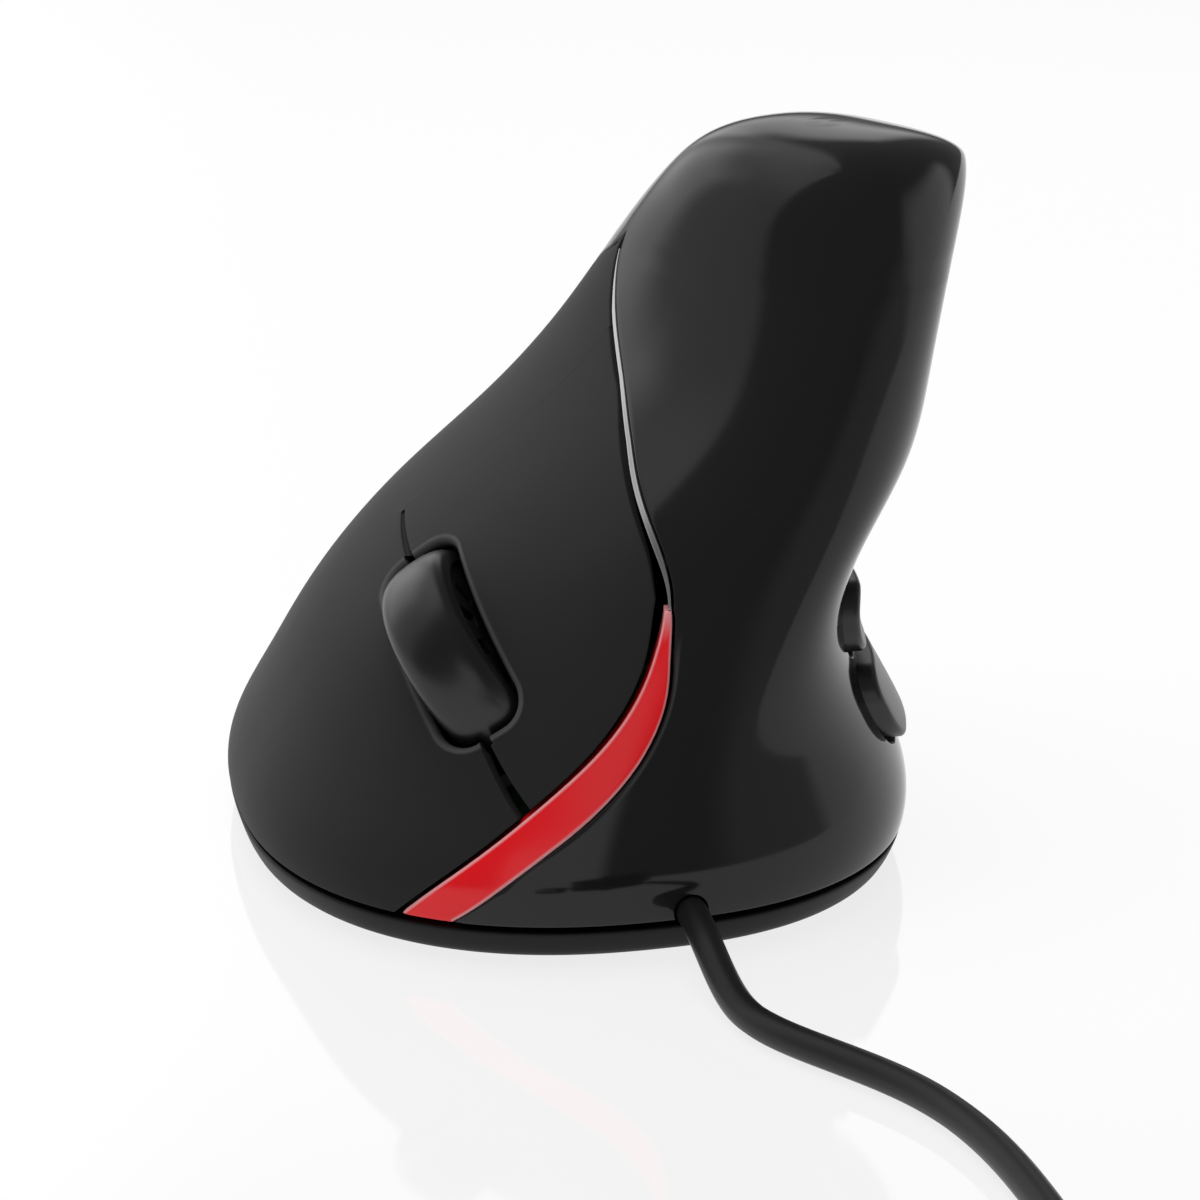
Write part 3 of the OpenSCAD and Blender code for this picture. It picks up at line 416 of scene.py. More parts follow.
def solid(name: str, points: np.ndarray, faces: Faces) -> bpy.types.Object:
    """Make a mesh object from points in millimetres.

    Args:
        name: The object's name.
        points: Rows of x, y and z.
        faces: Corner numbers of each face, anticlockwise from outside.

    Returns:
        The new object, at the origin.
    """
    used = sorted({corner for face in faces for corner in face})
    place = {old: new for new, old in enumerate(used)}
    mesh = bpy.data.meshes.new(name)
    rows = [tuple(float(x) * MM for x in points[old]) for old in used]
    mesh.from_pydata(rows, [], [tuple(place[c] for c in face) for face in faces])
    mesh.validate()
    return placed(name, mesh)


def settle(obj: bpy.types.Object) -> bpy.types.Object:
    """Turn an object's modifiers into a plain mesh.

    Args:
        obj: The object, whose modifiers go.

    Returns:
        The same object.
    """
    depsgraph = bpy.context.evaluated_depsgraph_get()
    made = bpy.data.meshes.new_from_object(obj.evaluated_get(depsgraph))
    obj.modifiers.clear()
    spent = obj.data
    obj.data = made
    made.name = obj.name
    bpy.data.meshes.remove(spent)
    return obj


def settle_curve(obj: bpy.types.Object) -> bpy.types.Object:
    """Turn a curve object into a mesh object of the same name.

    Args:
        obj: The curve object, which goes.

    Returns:
        The mesh object.
    """
    depsgraph = bpy.context.evaluated_depsgraph_get()
    mesh = bpy.data.meshes.new_from_object(obj.evaluated_get(depsgraph))
    name, curve = obj.name, obj.data
    bpy.data.objects.remove(obj)
    bpy.data.curves.remove(curve)
    made = placed(name, mesh)
    made.modifiers.new("caps", "WELD").merge_threshold = WELD_REACH * MM
    shade(settle(made))
    return made


def round_edges(obj: bpy.types.Object, width: float) -> None:
    """Round an object's sharp edges.

    Args:
        obj: The object to round.
        width: Width of the rounding in millimetres.
    """
    bevel = obj.modifiers.new("rounding", "BEVEL")
    bevel.width = width * MM
    bevel.segments = ROUNDING_STEPS
    bevel.use_clamp_overlap = False
    bevel.limit_method = "ANGLE"
    bevel.angle_limit = math.radians(SHARP_EDGE)
    settle(obj)


def cut(obj: bpy.types.Object, cutters: Iterable[bpy.types.Object]) -> None:
    """Cut solids out of an object, and remove the cutters.

    Args:
        obj: The object that is cut.
        cutters: The solids that are taken away.
    """
    cutters = list(cutters)
    for cutter in cutters:
        boolean = obj.modifiers.new("cut", "BOOLEAN")
        boolean.operation = "DIFFERENCE"
        boolean.solver = "MANIFOLD"
        boolean.object = cutter
    settle(obj)
    for cutter in cutters:
        discard(cutter)


def discard(obj: bpy.types.Object) -> None:
    """Remove an object and its mesh.

    Args:
        obj: The object.
    """
    mesh = obj.data
    bpy.data.objects.remove(obj)
    bpy.data.meshes.remove(mesh)


def join(obj: bpy.types.Object, others: Iterable[bpy.types.Object]) -> None:
    """Add other objects' meshes to an object with their rim marks for the painted highlight, and remove those
    objects.

    Args:
        obj: The object that grows.
        others: The objects that are taken in.
    """
    points, faces, marks = [], [], []
    for part in (obj, *others):
        mesh = part.data
        first = len(points)
        points += [vertex.co.copy() for vertex in mesh.vertices]
        faces += [tuple(first + corner for corner in face.vertices) for face in mesh.polygons]
        mark = mesh.attributes.get(RIM_HIGHLIGHT_NAME)
        marks += [item.value for item in mark.data] if mark else [0.0] * len(mesh.vertices)
        if part is not obj:
            discard(part)
    obj.data.clear_geometry()
    obj.data.from_pydata(points, [], faces)
    mark_rim_highlight(obj, marks)


def mark_rim_highlight(obj: bpy.types.Object, marks: Sequence[float]) -> None:
    """Keep how near each vertex lies to a rim, from 0 to 1, as the mask of a painted highlight."""
    obj.data.attributes.new(RIM_HIGHLIGHT_NAME, "FLOAT", "POINT").data.foreach_set("value", marks)


def shade(obj: bpy.types.Object, crease: float = 32.0) -> None:
    """Shade an object smooth, with creases over an angle in degrees."""
    obj.data.shade_smooth()
    obj.data.set_sharp_from_angle(angle=math.radians(crease))


def band_faces(rows: int, cols: int) -> Faces:
    """Faces between rings of points that close on themselves.

    Args:
        rows: How many rings there are.
        cols: Points in each ring.

    Returns:
        The faces.
    """
    return [
        (
            i * cols + j,
            i * cols + (j + 1) % cols,
            (i + 1) * cols + (j + 1) % cols,
            (i + 1) * cols + j,
        )
        for i in range(rows - 1)
        for j in range(cols)
    ]


def ring_faces(rows: int, cols: int) -> Faces:
    """Faces between rings that close on themselves, with the last ring joined to the first."""
    return [tuple(corner % (rows * cols) for corner in face) for face in band_faces(rows + 1, cols)]


def loft(name: str, rings: Sequence[np.ndarray]) -> bpy.types.Object:
    """Make a closed solid through rings, with a fan of faces over each end.

    Args:
        name: The object's name.
        rings: Rings of points, each anticlockwise as seen from the last ring's end.

    Returns:
        The new object.
    """
    count, cols = len(rings), len(rings[0])
    points = np.concatenate([*rings, [rings[0].mean(0)], [rings[-1].mean(0)]])
    tips = count * cols
    top = tips - cols
    faces = band_faces(count, cols)
    faces += [(tips, (j + 1) % cols, j) for j in range(cols)]
    faces += [(tips + 1, top + j, top + (j + 1) % cols) for j in range(cols)]
    return solid(name, points, faces)


def circle(diameter: float, sides: int = ROUND_SIDES) -> np.ndarray:
    """Rows of two places round a circle."""
    turn = np.linspace(0, 2 * math.pi, sides, endpoint=False)
    return diameter / 2 * np.stack([np.cos(turn), np.sin(turn)], -1)


def turned(name: str, profile: Sequence[tuple[float, float]], sides: int) -> bpy.types.Object:
    """Make a turned solid about the Z axis, from the radius and the height of each ring upwards."""
    rings = [np.insert(circle(2 * radius, sides), 2, height, axis=1) for radius, height in profile]
    return loft(name, rings)


def arc(steps: int) -> np.ndarray:
    """Cosine and sine of angles over a quarter turn, as rows."""
    turn = np.linspace(0, math.pi / 2, steps + 1)
    return np.stack([np.cos(turn), np.sin(turn)], -1)


def corner_outline(length: float, width: float, radius: float, per_corner: int) -> np.ndarray:
    """Outline of a bar with round corners, with the same number of points at any size.

    Args:
        length: Length along the first axis.
        width: Width along the second axis.
        radius: Radius of the corners.
        per_corner: Steps round each corner.

    Returns:
        Rows of two places and the two parts of the outward normal, anticlockwise.
    """
    rows = []
    reach = np.array([length / 2 - radius, width / 2 - radius])
    for corner, signs in enumerate(((1, 1), (-1, 1), (-1, -1), (1, -1))):
        for turn in np.linspace(corner, corner + 1, per_corner + 1) * math.pi / 2:
            normal = np.array([math.cos(turn), math.sin(turn)])
            rows.append(np.concatenate([reach * signs + radius * normal, normal]))
    return np.array(rows)


def bar_outline(length: float, width: float, radius: float, per_corner: int = 16) -> np.ndarray:
    """Outline of a bar with round corners, spaced evenly enough to wrap on a skin.

    Args:
        length: Length along the first axis.
        width: Width along the second axis.
        radius: Radius of the corners.
        per_corner: Steps round each corner.

    Returns:
        Rows of two places and the two parts of the outward normal, anticlockwise.
    """
    rows = corner_outline(length, width, radius, per_corner)
    step = radius * math.pi / 2 / per_corner
    filled = []
    for here, after in zip(rows, np.roll(rows, -1, axis=0)):
        parts = max(1, round(float(np.linalg.norm(after[:2] - here[:2])) / step))
        filled += [here + (after - here) * k / parts for k in range(parts)]
    return np.array(filled)


@dataclass(frozen=True)
class Stand:
    """A right-handed frame in the part: an origin and three axes, in millimetres."""

    origin: np.ndarray
    along: np.ndarray
    across: np.ndarray
    out: np.ndarray

    def world(self, places: np.ndarray) -> np.ndarray:
        """Points of the part from places in this frame."""
        return self.origin + places @ np.stack([self.along, self.across, self.out])

    def local(self, points: np.ndarray) -> np.ndarray:
        """Places in this frame from points of the part."""
        return (points - self.origin) @ np.stack([self.along, self.across, self.out]).T

    def prism(self, name: str, outline: np.ndarray, low: float, high: float) -> bpy.types.Object:
        """Make a straight prism on an anticlockwise outline, between two levels of the out axis."""
        levels = [np.insert(outline[:, :2], 2, level, axis=1) for level in (low, high)]
        return loft(name, [self.world(level) for level in levels])


# Form of the body

TURN_PROBE = 0.1
STATION_PROBE = 0.01
LENGTH_PROBE = 3.0
EASED_TURN = 18.0
NEWTON_STEPS = 10


def bends(rows: np.ndarray) -> np.ndarray:
    """Find how the smoothest cubic curve through rows bends.

    Args:
        rows: Values or points, one per whole number from 0.

    Returns:
        The curve's second slope at each row.
    """
    count = len(rows)
    system = 4 * np.eye(count) + np.eye(count, k=1) + np.eye(count, k=-1)
    system[[0, -1]] = np.eye(count)[[0, -1]]
    target = np.zeros_like(rows)
    target[1:-1] = 6 * (rows[:-2] - 2 * rows[1:-1] + rows[2:])
    return np.linalg.solve(system, target)


def guide(values: Sequence, at: np.ndarray | float) -> np.ndarray:
    """The smoothest cubic curve through equally spaced values or points.

    Args:
        values: The values, one per whole number from 0.
        at: Where the curve is wanted.

    Returns:
        The curve there.
    """
    rows = np.asarray(values, float)
    bend = bends(rows)
    at = np.asarray(at, float)
    i = np.clip(np.floor(at).astype(int), 0, len(rows) - 2)
    f = (at - i) if rows.ndim == 1 else (at - i)[..., None]
    g = 1 - f
    return g * rows[i] + f * rows[i + 1] + ((g**3 - g) * bend[i] + (f**3 - f) * bend[i + 1]) / 6


def along(curve: Sequence, share: np.ndarray) -> np.ndarray:
    """Points of a guide curve at shares of its whole length."""
    return guide(curve, np.asarray(share) * (len(curve) - 1))


def mix(first: np.ndarray, second: np.ndarray, share: np.ndarray) -> np.ndarray:
    """Points at shares of the way from the first to the second."""
    return first * (1 - share) + second * share


def smooth(share: np.ndarray | float) -> np.ndarray | float:
    """A share from 0 to 1 that starts and ends gently."""
    return share * share * (3 - 2 * share)


def power(base: np.ndarray, exponent: np.ndarray) -> np.ndarray:
    """A power that keeps the sign of its base."""
    return np.sign(base) * np.abs(base) ** exponent


def unit(rows: np.ndarray) -> np.ndarray:
    """Vectors of length one."""
    return rows / np.linalg.norm(rows, axis=-1, keepdims=True)


@dataclass(frozen=True)
class Skin:
    """The outer form: guides at stations up the body, and the seams that part its shells."""

    foot_proud: float = 0.6
    wall: float = 2.0
    skin_gap: float = 0.6
    button_gap: float = 0.9
    inlay_gap: float = 0.3
    seat_gap: float = 0.1
    parting: float = 1.0
    crown: float = 12.0
    spine_y: float = 6.2
    heights: Guide = (0, 4, 9.5, 17, 26.5, 36, 45, 54.5, 64, 71.5, 76, 78, 78.4)
    finger_reach: Guide = (37.4, 38.7, 37.6, 36, 34.2, 29.8, 22.2, 15.4, 12.6, 12.5, 11, 7.5, 2)
    thumb_reach: Guide = (33.6, 35.4, 35.4, 30, 21.3, 16.6, 18.5, 16.8, 16.2, 17.2, 18.4, 16.5, 3)
    front_reach: Guide = (38.3, 39.7, 39.4, 37, 34, 30.7, 27.5, 24.3, 20.7, 16.5, 13, 8.5, 2)
    rear_reach: Guide = (49, 52, 48, 42.5, 38, 34.5, 30.3, 25.8, 21.3, 17, 13, 7.5, 2)
    spine_x: Guide = (3.1, 3.1, 3.1, 1.1, -2.4, -6.9, -11.4, -15.4, -18.9, -21.9, -23.4, -24.1, -24.4)
    twist: Guide = (0, 0, 0, 3, 8, 13, 18, 22, 25, 27, 28, 28, 28)
    squareness: Guide = (2.3, 2.3, 2.3, 2.2, 2.1, 2.1, 2.1, 2.2, 2.3, 2.4, 2.4, 2.4, 2.2)
    crown_drop: Guide = (0, 0, 0, 0, 0, 0, 0, 0.002, 0.005, 0.009, 0.012, 0.013, 0.013)
    seam_step: float = 0.5
    seam_turn: Guide = (48.5, 53, 58, 62.5, 66.3, 69.5, 70, 67.3, 61.3, 49, 31.5, 13.5, -4.5, -22, -39)
    rear_turn: Guide = (
        -118, -117.5, -117, -116, -115, -113.5, -112, -109.5, -107, -103, -99, -92, -82, -66, -45,
    )
    seam_end: float = 8.0
    seam_rows: int = 18
    stripe_rows: int = 10
    stripe_w: float = 6.2
    stripe_taper: Guide = (0.9, 1, 1, 1, 0.95, 0.75, 0.5, 0.25, 0.11)
    line_w: float = 0.7
    line_point: float = 0.25
    line_fade: float = 0.8
    line_root: float = 0.4
    line_grow: float = 0.7

    def at(self, turn: np.ndarray, station: np.ndarray, depth: np.ndarray | float = 0.0) -> np.ndarray:
        """Points of the form.

        Args:
            turn: Angle round the body in degrees, from +X towards +Y.
            station: Place up the body.
            depth: How far under the skin.

        Returns:
            The points.
        """
        turn, station, depth = np.broadcast_arrays(np.radians(turn), station, depth)
        cos, sin = np.cos(turn), np.sin(turn)
        exponent = 2 / guide(self.squareness, station)
        roll = np.radians(guide(self.twist, station))
        side = np.where(cos > 0, guide(self.finger_reach, station), guide(self.thumb_reach, station))
        face = np.where(sin > 0, guide(self.front_reach, station), guide(self.rear_reach, station))
        x = (side - depth) * power(cos, exponent)
        y = (face - depth) * power(sin, exponent)
        sunk = guide(self.crown_drop, station) * x * x + depth * (station / self.crown) ** 3
        return np.stack(
            [
                guide(self.spine_x, station) + x * np.cos(roll) - y * np.sin(roll),
                self.spine_y + x * np.sin(roll) + y * np.cos(roll),
                self.foot_proud + guide(self.heights, station) - sunk,
            ],
            -1,
        )

    def normal(self, turn: np.ndarray, station: np.ndarray) -> np.ndarray:
        """Outward unit normals of the skin at places on it.

        Args:
            turn: Angles of the places.
            station: Their places up the body.

        Returns:
            Vectors of length one.
        """
        around = self.at(turn + TURN_PROBE, station) - self.at(turn - TURN_PROBE, station)
        upward = self.at(turn, station + STATION_PROBE) - self.at(turn, station - STATION_PROBE)
        return unit(np.cross(around, upward))

    def turn_for(self, length: np.ndarray | float, turn: np.ndarray, station: np.ndarray) -> np.ndarray:
        """The even angle that a length covers on the skin."""
        ends = [self.at(self.eased(turn + way, station), station) for way in (-LENGTH_PROBE, LENGTH_PROBE)]
        return length * 2 * LENGTH_PROBE / np.linalg.norm(ends[1] - ends[0], axis=-1)

    def rise_for(self, length: np.ndarray | float, turn: np.ndarray, station: np.ndarray) -> np.ndarray:
        """The share of a station that a length covers on the skin."""
        step = np.linalg.norm(self.at(turn, station + STATION_PROBE) - self.at(turn, station), axis=-1)
        return length * STATION_PROBE / step

    def eased(self, turn: np.ndarray, station: np.ndarray) -> np.ndarray:
        """Angles of the form from even ones, so that a line crosses its quarter turns without a kink.

        Args:
            turn: The even angles.
            station: Their places up the body.

        Returns:
            The form's angles, which run slower beside each quarter turn.
        """
        quarter = 90 * np.round(turn / 90)
        away = (turn - quarter) / EASED_TURN
        near = power(away, guide(self.squareness, station) / 2)
        return quarter + EASED_TURN * np.where(np.abs(away) < 1, near, away)

    def beside(self, turns: Guide, length: np.ndarray | float, station: np.ndarray) -> np.ndarray:
        """The form's angle at a length beside a seam, whose even angles count from the parting upwards."""
        middle = guide(turns, (np.asarray(station) - self.parting) / self.seam_step)
        return self.eased(middle + self.turn_for(length, middle, station), station)

    def beside_seam(self, length: np.ndarray | float, station: np.ndarray) -> np.ndarray:
        """Angle at a length beside the front seam."""
        return self.beside(self.seam_turn, length, station)

    def beside_rear(self, length: float, station: np.ndarray) -> np.ndarray:
        """Angle at a length beside the rear seam."""
        return self.beside(self.rear_turn, length, station)

    def beside_inlay(self, length: np.ndarray | float, station: np.ndarray) -> np.ndarray:
        """Angle at a length across the inlay, from its edge beside the buttons."""
        return self.beside_seam(self.skin_gap / 2 + length, station)

    def button_edge(self, station: np.ndarray, margin: float = 0.0) -> np.ndarray:
        """Angle of the buttons' front edge, or of a line at a margin inside it."""
        return self.beside_seam(self.skin_gap / 2 - self.button_gap - margin, station)

    def lower_edge(self, margin: float = 0.0) -> float:
        """Station of the shells' lower edge, or of a line at a margin over it."""
        rise = self.rise_for(self.seat_gap + margin, np.float64(0), np.float64(self.parting))
        return self.parting + float(rise)

    @property
    def stripe_tip(self) -> float:
        """Station where the stripe gives way to the line."""
        low = self.lower_edge()
        return low + (self.seam_end - low) * self.stripe_rows / self.seam_rows

    def inlay_width(self, station: np.ndarray) -> np.ndarray:
        """Width of the inlay: the stripe up to its tip, then the line, which ends in a point.

        Args:
            station: Places up the body.

        Returns:
            The widths in millimetres.
        """
        stripe = self.stripe_w * guide(self.stripe_taper, (station - self.parting) / self.seam_step)
        faded = np.minimum(1, self.line_point + (self.seam_end - station) / self.line_fade)
        return np.where(station < self.stripe_tip, np.maximum(stripe, self.line_w), self.line_w * faded)

    def inlay_start(self, station: np.ndarray) -> np.ndarray:
        """Find the inlay's edge beside the buttons, where the line grows from its root on the stripe.

        Args:
            station: Places up the body.

        Returns:
            How far across the inlay that edge lies.
        """
        share = np.clip((station - self.stripe_tip) / self.line_grow, 0, 1)
        missing = (1 - self.line_root) * (1 - smooth(share))
        return np.where(station < self.stripe_tip, 0.0, self.line_w * missing)

    def over(
        self, stand: Stand, places: np.ndarray, start: tuple[float, float]
    ) -> tuple[np.ndarray, np.ndarray]:
        """Find the places on the skin that lie over points of a frame, by Newton steps.

        Args:
            stand: The frame.
            places: Rows of two places across the frame.
            start: Angle and station to start from.

        Returns:
            The angles and the stations.
        """
        turn = np.full(len(places), float(start[0]))
        station = np.full(len(places), float(start[1]))
        for _ in range(NEWTON_STEPS):
            here = stand.local(self.at(turn, station))
            a = (stand.local(self.at(turn + TURN_PROBE, station)) - here) / TURN_PROBE
            b = (stand.local(self.at(turn, station + STATION_PROBE)) - here) / STATION_PROBE
            miss = places - here[:, :2]
            spread = a[:, 0] * b[:, 1] - b[:, 0] * a[:, 1]
            turn = turn + (miss[:, 0] * b[:, 1] - miss[:, 1] * b[:, 0]) / spread
            station = station + (a[:, 0] * miss[:, 1] - a[:, 1] * miss[:, 0]) / spread
        return turn, station

    def lifted(self, turn: np.ndarray, station: np.ndarray, height: float) -> np.ndarray:
        """Points at a height straight over the skin."""
        return self.at(turn, station) + height * self.normal(turn, station)


SKIN = Skin()

STRAIGHT = 0.02
MITER = 1.6
TINY = 1e-9
DOME = 0.12
DOME_SHARES = (0.8, 0.6, 0.4, 0.2)
RIM_STEPS = 8


@dataclass
class Sheet:
    """A shell over a grid of places on the skin, with a rounded lip that grows out of the grid's border."""

    turn: np.ndarray
    station: np.ndarray
    lip: float
    depth: float = SKIN.wall
    first_ring: int | None = None
    plain_back: bool = False
    plain_front: int = 0
    lip_steps: int = 4

    def corner(self, i: int, j: int) -> int:
        """Number of a grid point, with the last column on the first where the rows close.

        Args:
            i: Its row.
            j: Its column.

        Returns:
            The point's number.
        """
        cols = self.turn.shape[1]
        closed = self.first_ring is not None and i >= self.first_ring and j == cols - 1
        return i * cols + (0 if closed else j)

    def border(self) -> tuple[list[int], np.ndarray]:
        """Walk round the grid's border, anticlockwise from outside.

        Returns:
            The points' numbers, and 1 or 0 for each step from a point to the next with or without a lip.
        """
        rows, cols = self.turn.shape
        at = self.corner
        side = self.first_ring if self.first_ring is not None else rows - 1
        low = [(at(0, j), 1) for j in range(cols - 1)]
        front = [(at(i, cols - 1), int(i >= self.plain_front)) for i in range(side)]
        high = [] if self.first_ring is not None else [(at(side, j), 1) for j in range(cols - 1, 0, -1)]
        back = [(at(i, 0), int(not self.plain_back)) for i in range(side, 0, -1)]
        walk = [*low, *front, *high, *back]
        return [number for number, _ in walk], np.array([lip for _, lip in walk], float)

    def outward(self, points: np.ndarray, normals: np.ndarray, lips: np.ndarray) -> np.ndarray:
        """The way that the lip grows at each point of the border.

        Args:
            points: The border's points in order.
            normals: The skin's normals there.
            lips: 1 or 0 for each step from a point to the next.

        Returns:
            Vectors that carry both neighbouring edges out by one, or by none along a plain edge.
        """
        step = unit(np.roll(points, -1, axis=0) - points)
        after = unit(np.cross(step, normals))
        before = unit(np.cross(np.roll(step, 1, axis=0), normals))
        want_after, want_before = lips[:, None], np.roll(lips, 1)[:, None]
        turn = (after * before).sum(1, keepdims=True)
        spread = np.maximum(1 - turn * turn, TINY)
        bent = (want_after - turn * want_before) * after + (want_before - turn * want_after) * before
        straight = (want_after + want_before) / 2 * unit(after + before + TINY)
        out = np.where(spread < STRAIGHT, straight, bent / spread)
        length = np.linalg.norm(out, axis=1, keepdims=True)
        return out * np.minimum(1, MITER / np.maximum(length, TINY))

    def build(self, name: str) -> bpy.types.Object:
        """Make the closed shell.

        Args:
            name: The object's name.

        Returns:
            The new object.
        """
        rows, cols = self.turn.shape
        count = rows * cols
        at = self.corner
        outer = SKIN.at(self.turn, self.station).reshape(-1, 3)
        inner = SKIN.at(self.turn, self.station, self.depth).reshape(-1, 3)
        loop, lips = self.border()
        normals = SKIN.normal(self.turn, self.station).reshape(-1, 3)[loop]
        way = self.outward(outer[loop], normals, lips)
        inner[loop] += self.lip * way
        layers = [
            outer[loop] + self.lip * (sin * way - (1 - cos) * normals)
            for cos, sin in arc(self.lip_steps)[1:]
        ]
        grown = np.maximum(lips, np.roll(lips, 1)) > 0
        chains = [
            [number]
            + ([2 * count + k * len(loop) + place for k in range(len(layers))] if grown[place] else [])
            + [number + count]
            for place, number in enumerate(loop)
        ]
        cells = [
            (at(i, j), at(i, j + 1), at(i + 1, j + 1), at(i + 1, j))
            for i in range(rows - 1)
            for j in range(cols - 1)
        ]
        faces = cells + [tuple(number + count for number in reversed(cell)) for cell in cells]
        for a, b in zip(chains, [*chains[1:], chains[0]]):
            if len(a) == len(b):
                faces += [(b[k], a[k], a[k + 1], b[k + 1]) for k in range(len(a) - 1)]
            else:
                faces.append((b[0], *a, *reversed(b[1:])))
        points = [outer, inner, *layers]
        if self.first_ring is not None:
            first = 2 * count + len(layers) * len(loop)
            last_row = [at(rows - 1, j) for j in range(cols - 1)]
            for layer, way_up in ((outer, 1), (inner, -1)):
                crown, crown_faces = self.crown(layer[last_row], way_up)
                shift = 0 if way_up > 0 else count
                ring = [number + shift for number in last_row]
                corners = [*ring, *range(first, first + len(crown))]
                faces += [tuple(corners[c] for c in face) for face in crown_faces]
                points.append(crown)
                first += len(crown)
        return solid(name, np.concatenate(points), faces)

    @staticmethod
    def crown(ring: np.ndarray, way_up: int) -> tuple[np.ndarray, Faces]:
        """Close the crown over its last ring with a shallow dome.

        Args:
            ring: The last ring's points.
            way_up: 1 for the outer skin and -1 for the inner one.

        Returns:
            The dome's points, and faces that count the ring's points first and the dome's after them.
        """
        middle = ring.mean(0)
        cols = len(ring)
        rings = [middle + (ring - middle) * share + DOME * (1 - share**2) * Z for share in DOME_SHARES]
        points = np.concatenate([*rings, [middle + DOME * Z]])
        faces = band_faces(len(rings) + 1, cols)
        last, tip = len(rings) * cols, (len(rings) + 1) * cols
        faces += [(last + j, last + (j + 1) % cols, tip) for j in range(cols)]
        return points, [face if way_up > 0 else tuple(reversed(face)) for face in faces]


def strip(
    stations: np.ndarray, start: np.ndarray, finish: np.ndarray, cols: int
) -> tuple[np.ndarray, np.ndarray]:
    """A grid of places between two edges.

    Args:
        stations: Station of each row.
        start: Angle of each row's first place.
        finish: Angle of each row's last place.
        cols: Steps along a row.

    Returns:
        The grid's angles and stations.
    """
    share = np.linspace(0, 1, cols + 1)
    turn = start[:, None] + (finish - start)[:, None] * share
    return turn, np.repeat(stations[:, None], cols + 1, axis=1)


def rim(
    name: str,
    stand: Stand,
    outline: np.ndarray,
    start: tuple[float, float],
    width: float,
    fall: float,
    keep: np.ndarray | None = None,
    bead: float = 0.0,
) -> bpy.types.Object:
    """Make the rounded lip and the wall of an opening in the skin, as a closed strip.

    Args:
        name: The object's name.
        stand: The frame that the opening is drawn in.
        outline: Rows of two places and their outward normal, round the opening.
        start: Angle and station near the opening.
        width: Radius of the lip in millimetres.
        fall: Depth of the wall under the lip.
        keep: Which points of the outline the lip covers, or None for all.
        bead: How far the lip swells over the skin before it turns in.

    Returns:
        The new object.
    """
    rings, marks = [], []
    for cos, sin in arc(RIM_STEPS):
        turn, station = SKIN.over(stand, outline[:, :2] + width * (1 - sin) * outline[:, 2:], start)
        rings.append(SKIN.lifted(turn, station, 2 * bead * sin * cos - width * (1 - cos)))
        # The lip's marks carry a painted highlight: strongest halfway round the lip, none on the wall.
        marks.append(2 * sin * cos)
    rings += [rings[-1] - fall * stand.out, rings[0] - (width + fall) * stand.out]
    marks += [0.0, 0.0]
    cols = len(outline)
    total = len(rings) * cols
    kept = np.ones(cols, bool) if keep is None else keep
    faces = [
        face
        for face in ring_faces(len(rings), cols)
        if all(kept[corner % cols] for corner in face)
    ]
    for j in np.flatnonzero(kept):
        section = tuple(range(j, total, cols))
        faces += [section] if not kept[j - 1] else []
        faces += [section[::-1]] if not kept[(j + 1) % cols] else []
    made = solid(name, np.concatenate(rings), faces)
    mark_rim_highlight(made, np.repeat(marks, kept.sum()))
    return made


# Repeats


@dataclass
class Repeater:
    """A Geometry Nodes tree that sets one shape at every point of a mesh."""

    tree: bpy.types.NodeTree | None = None

    def socket(self, name: str) -> str:
        """The identifier of a named input."""
        return next(
            item.identifier
            for item in self.tree.interface.items_tree
            if item.name == name and item.in_out == "INPUT"
        )

    def build(self) -> None:
        """Make the tree, with named inputs for the shape, its size and its finish."""
        self.tree = bpy.data.node_groups.new("set_at_points", "GeometryNodeTree")
        face = self.tree.interface
        for name, kind in (
            ("Points", "NodeSocketGeometry"),
            ("Shape", "NodeSocketObject"),
            ("Size", "NodeSocketFloat"),
            ("Finish", "NodeSocketMaterial"),
        ):
            face.new_socket(name, in_out="INPUT", socket_type=kind)
        face.new_socket("Geometry", in_out="OUTPUT", socket_type="NodeSocketGeometry")
        nodes, links = self.tree.nodes, self.tree.links
        given = nodes.new("NodeGroupInput")
        shape = nodes.new("GeometryNodeObjectInfo")
        scatter = nodes.new("GeometryNodeInstanceOnPoints")
        real = nodes.new("GeometryNodeRealizeInstances")
        dressed = nodes.new("GeometryNodeSetMaterial")
        result = nodes.new("NodeGroupOutput")
        for source, output, target, socket in (
            (given, "Points", scatter, "Points"),
            (given, "Shape", shape, "Object"),
            (shape, "Geometry", scatter, "Instance"),
            (given, "Size", scatter, "Scale"),
            (scatter, "Instances", real, "Geometry"),
            (real, "Geometry", dressed, "Geometry"),
            (given, "Finish", dressed, "Material"),
            (dressed, "Geometry", result, "Geometry"),
        ):
            links.new(source.outputs[output], target.inputs[socket])

    def set_at(
        self,
        name: str,
        points: Sequence,
        shape: bpy.types.Object,
        finish: bpy.types.Material,
        size: float = 1.0,
    ) -> bpy.types.Object:
        """Set copies of a shape at points, and remove the shape.

        Args:
            name: The new object's name.
            points: Where the copies go, in millimetres.
            shape: The shape, drawn at the origin.
            finish: The copies' material.
            size: The copies' scale.

        Returns:
            One object with all the copies, without the empty slot that their shape brings.
        """
        if self.tree is None:
            self.build()
        mesh = bpy.data.meshes.new(name)
        mesh.from_pydata([tuple(float(x) * MM for x in point) for point in points], [], [])
        made = placed(name, mesh)
        modifier = made.modifiers.new("repeat", "NODES")
        modifier.node_group = self.tree
        modifier[self.socket("Shape")] = shape
        modifier[self.socket("Size")] = size
        modifier[self.socket("Finish")] = finish
        settle(made)
        made.data.materials.pop(index=0)
        discard(shape)
        shade(made)
        return made


REPEATER = Repeater()


# Sub-assemblies


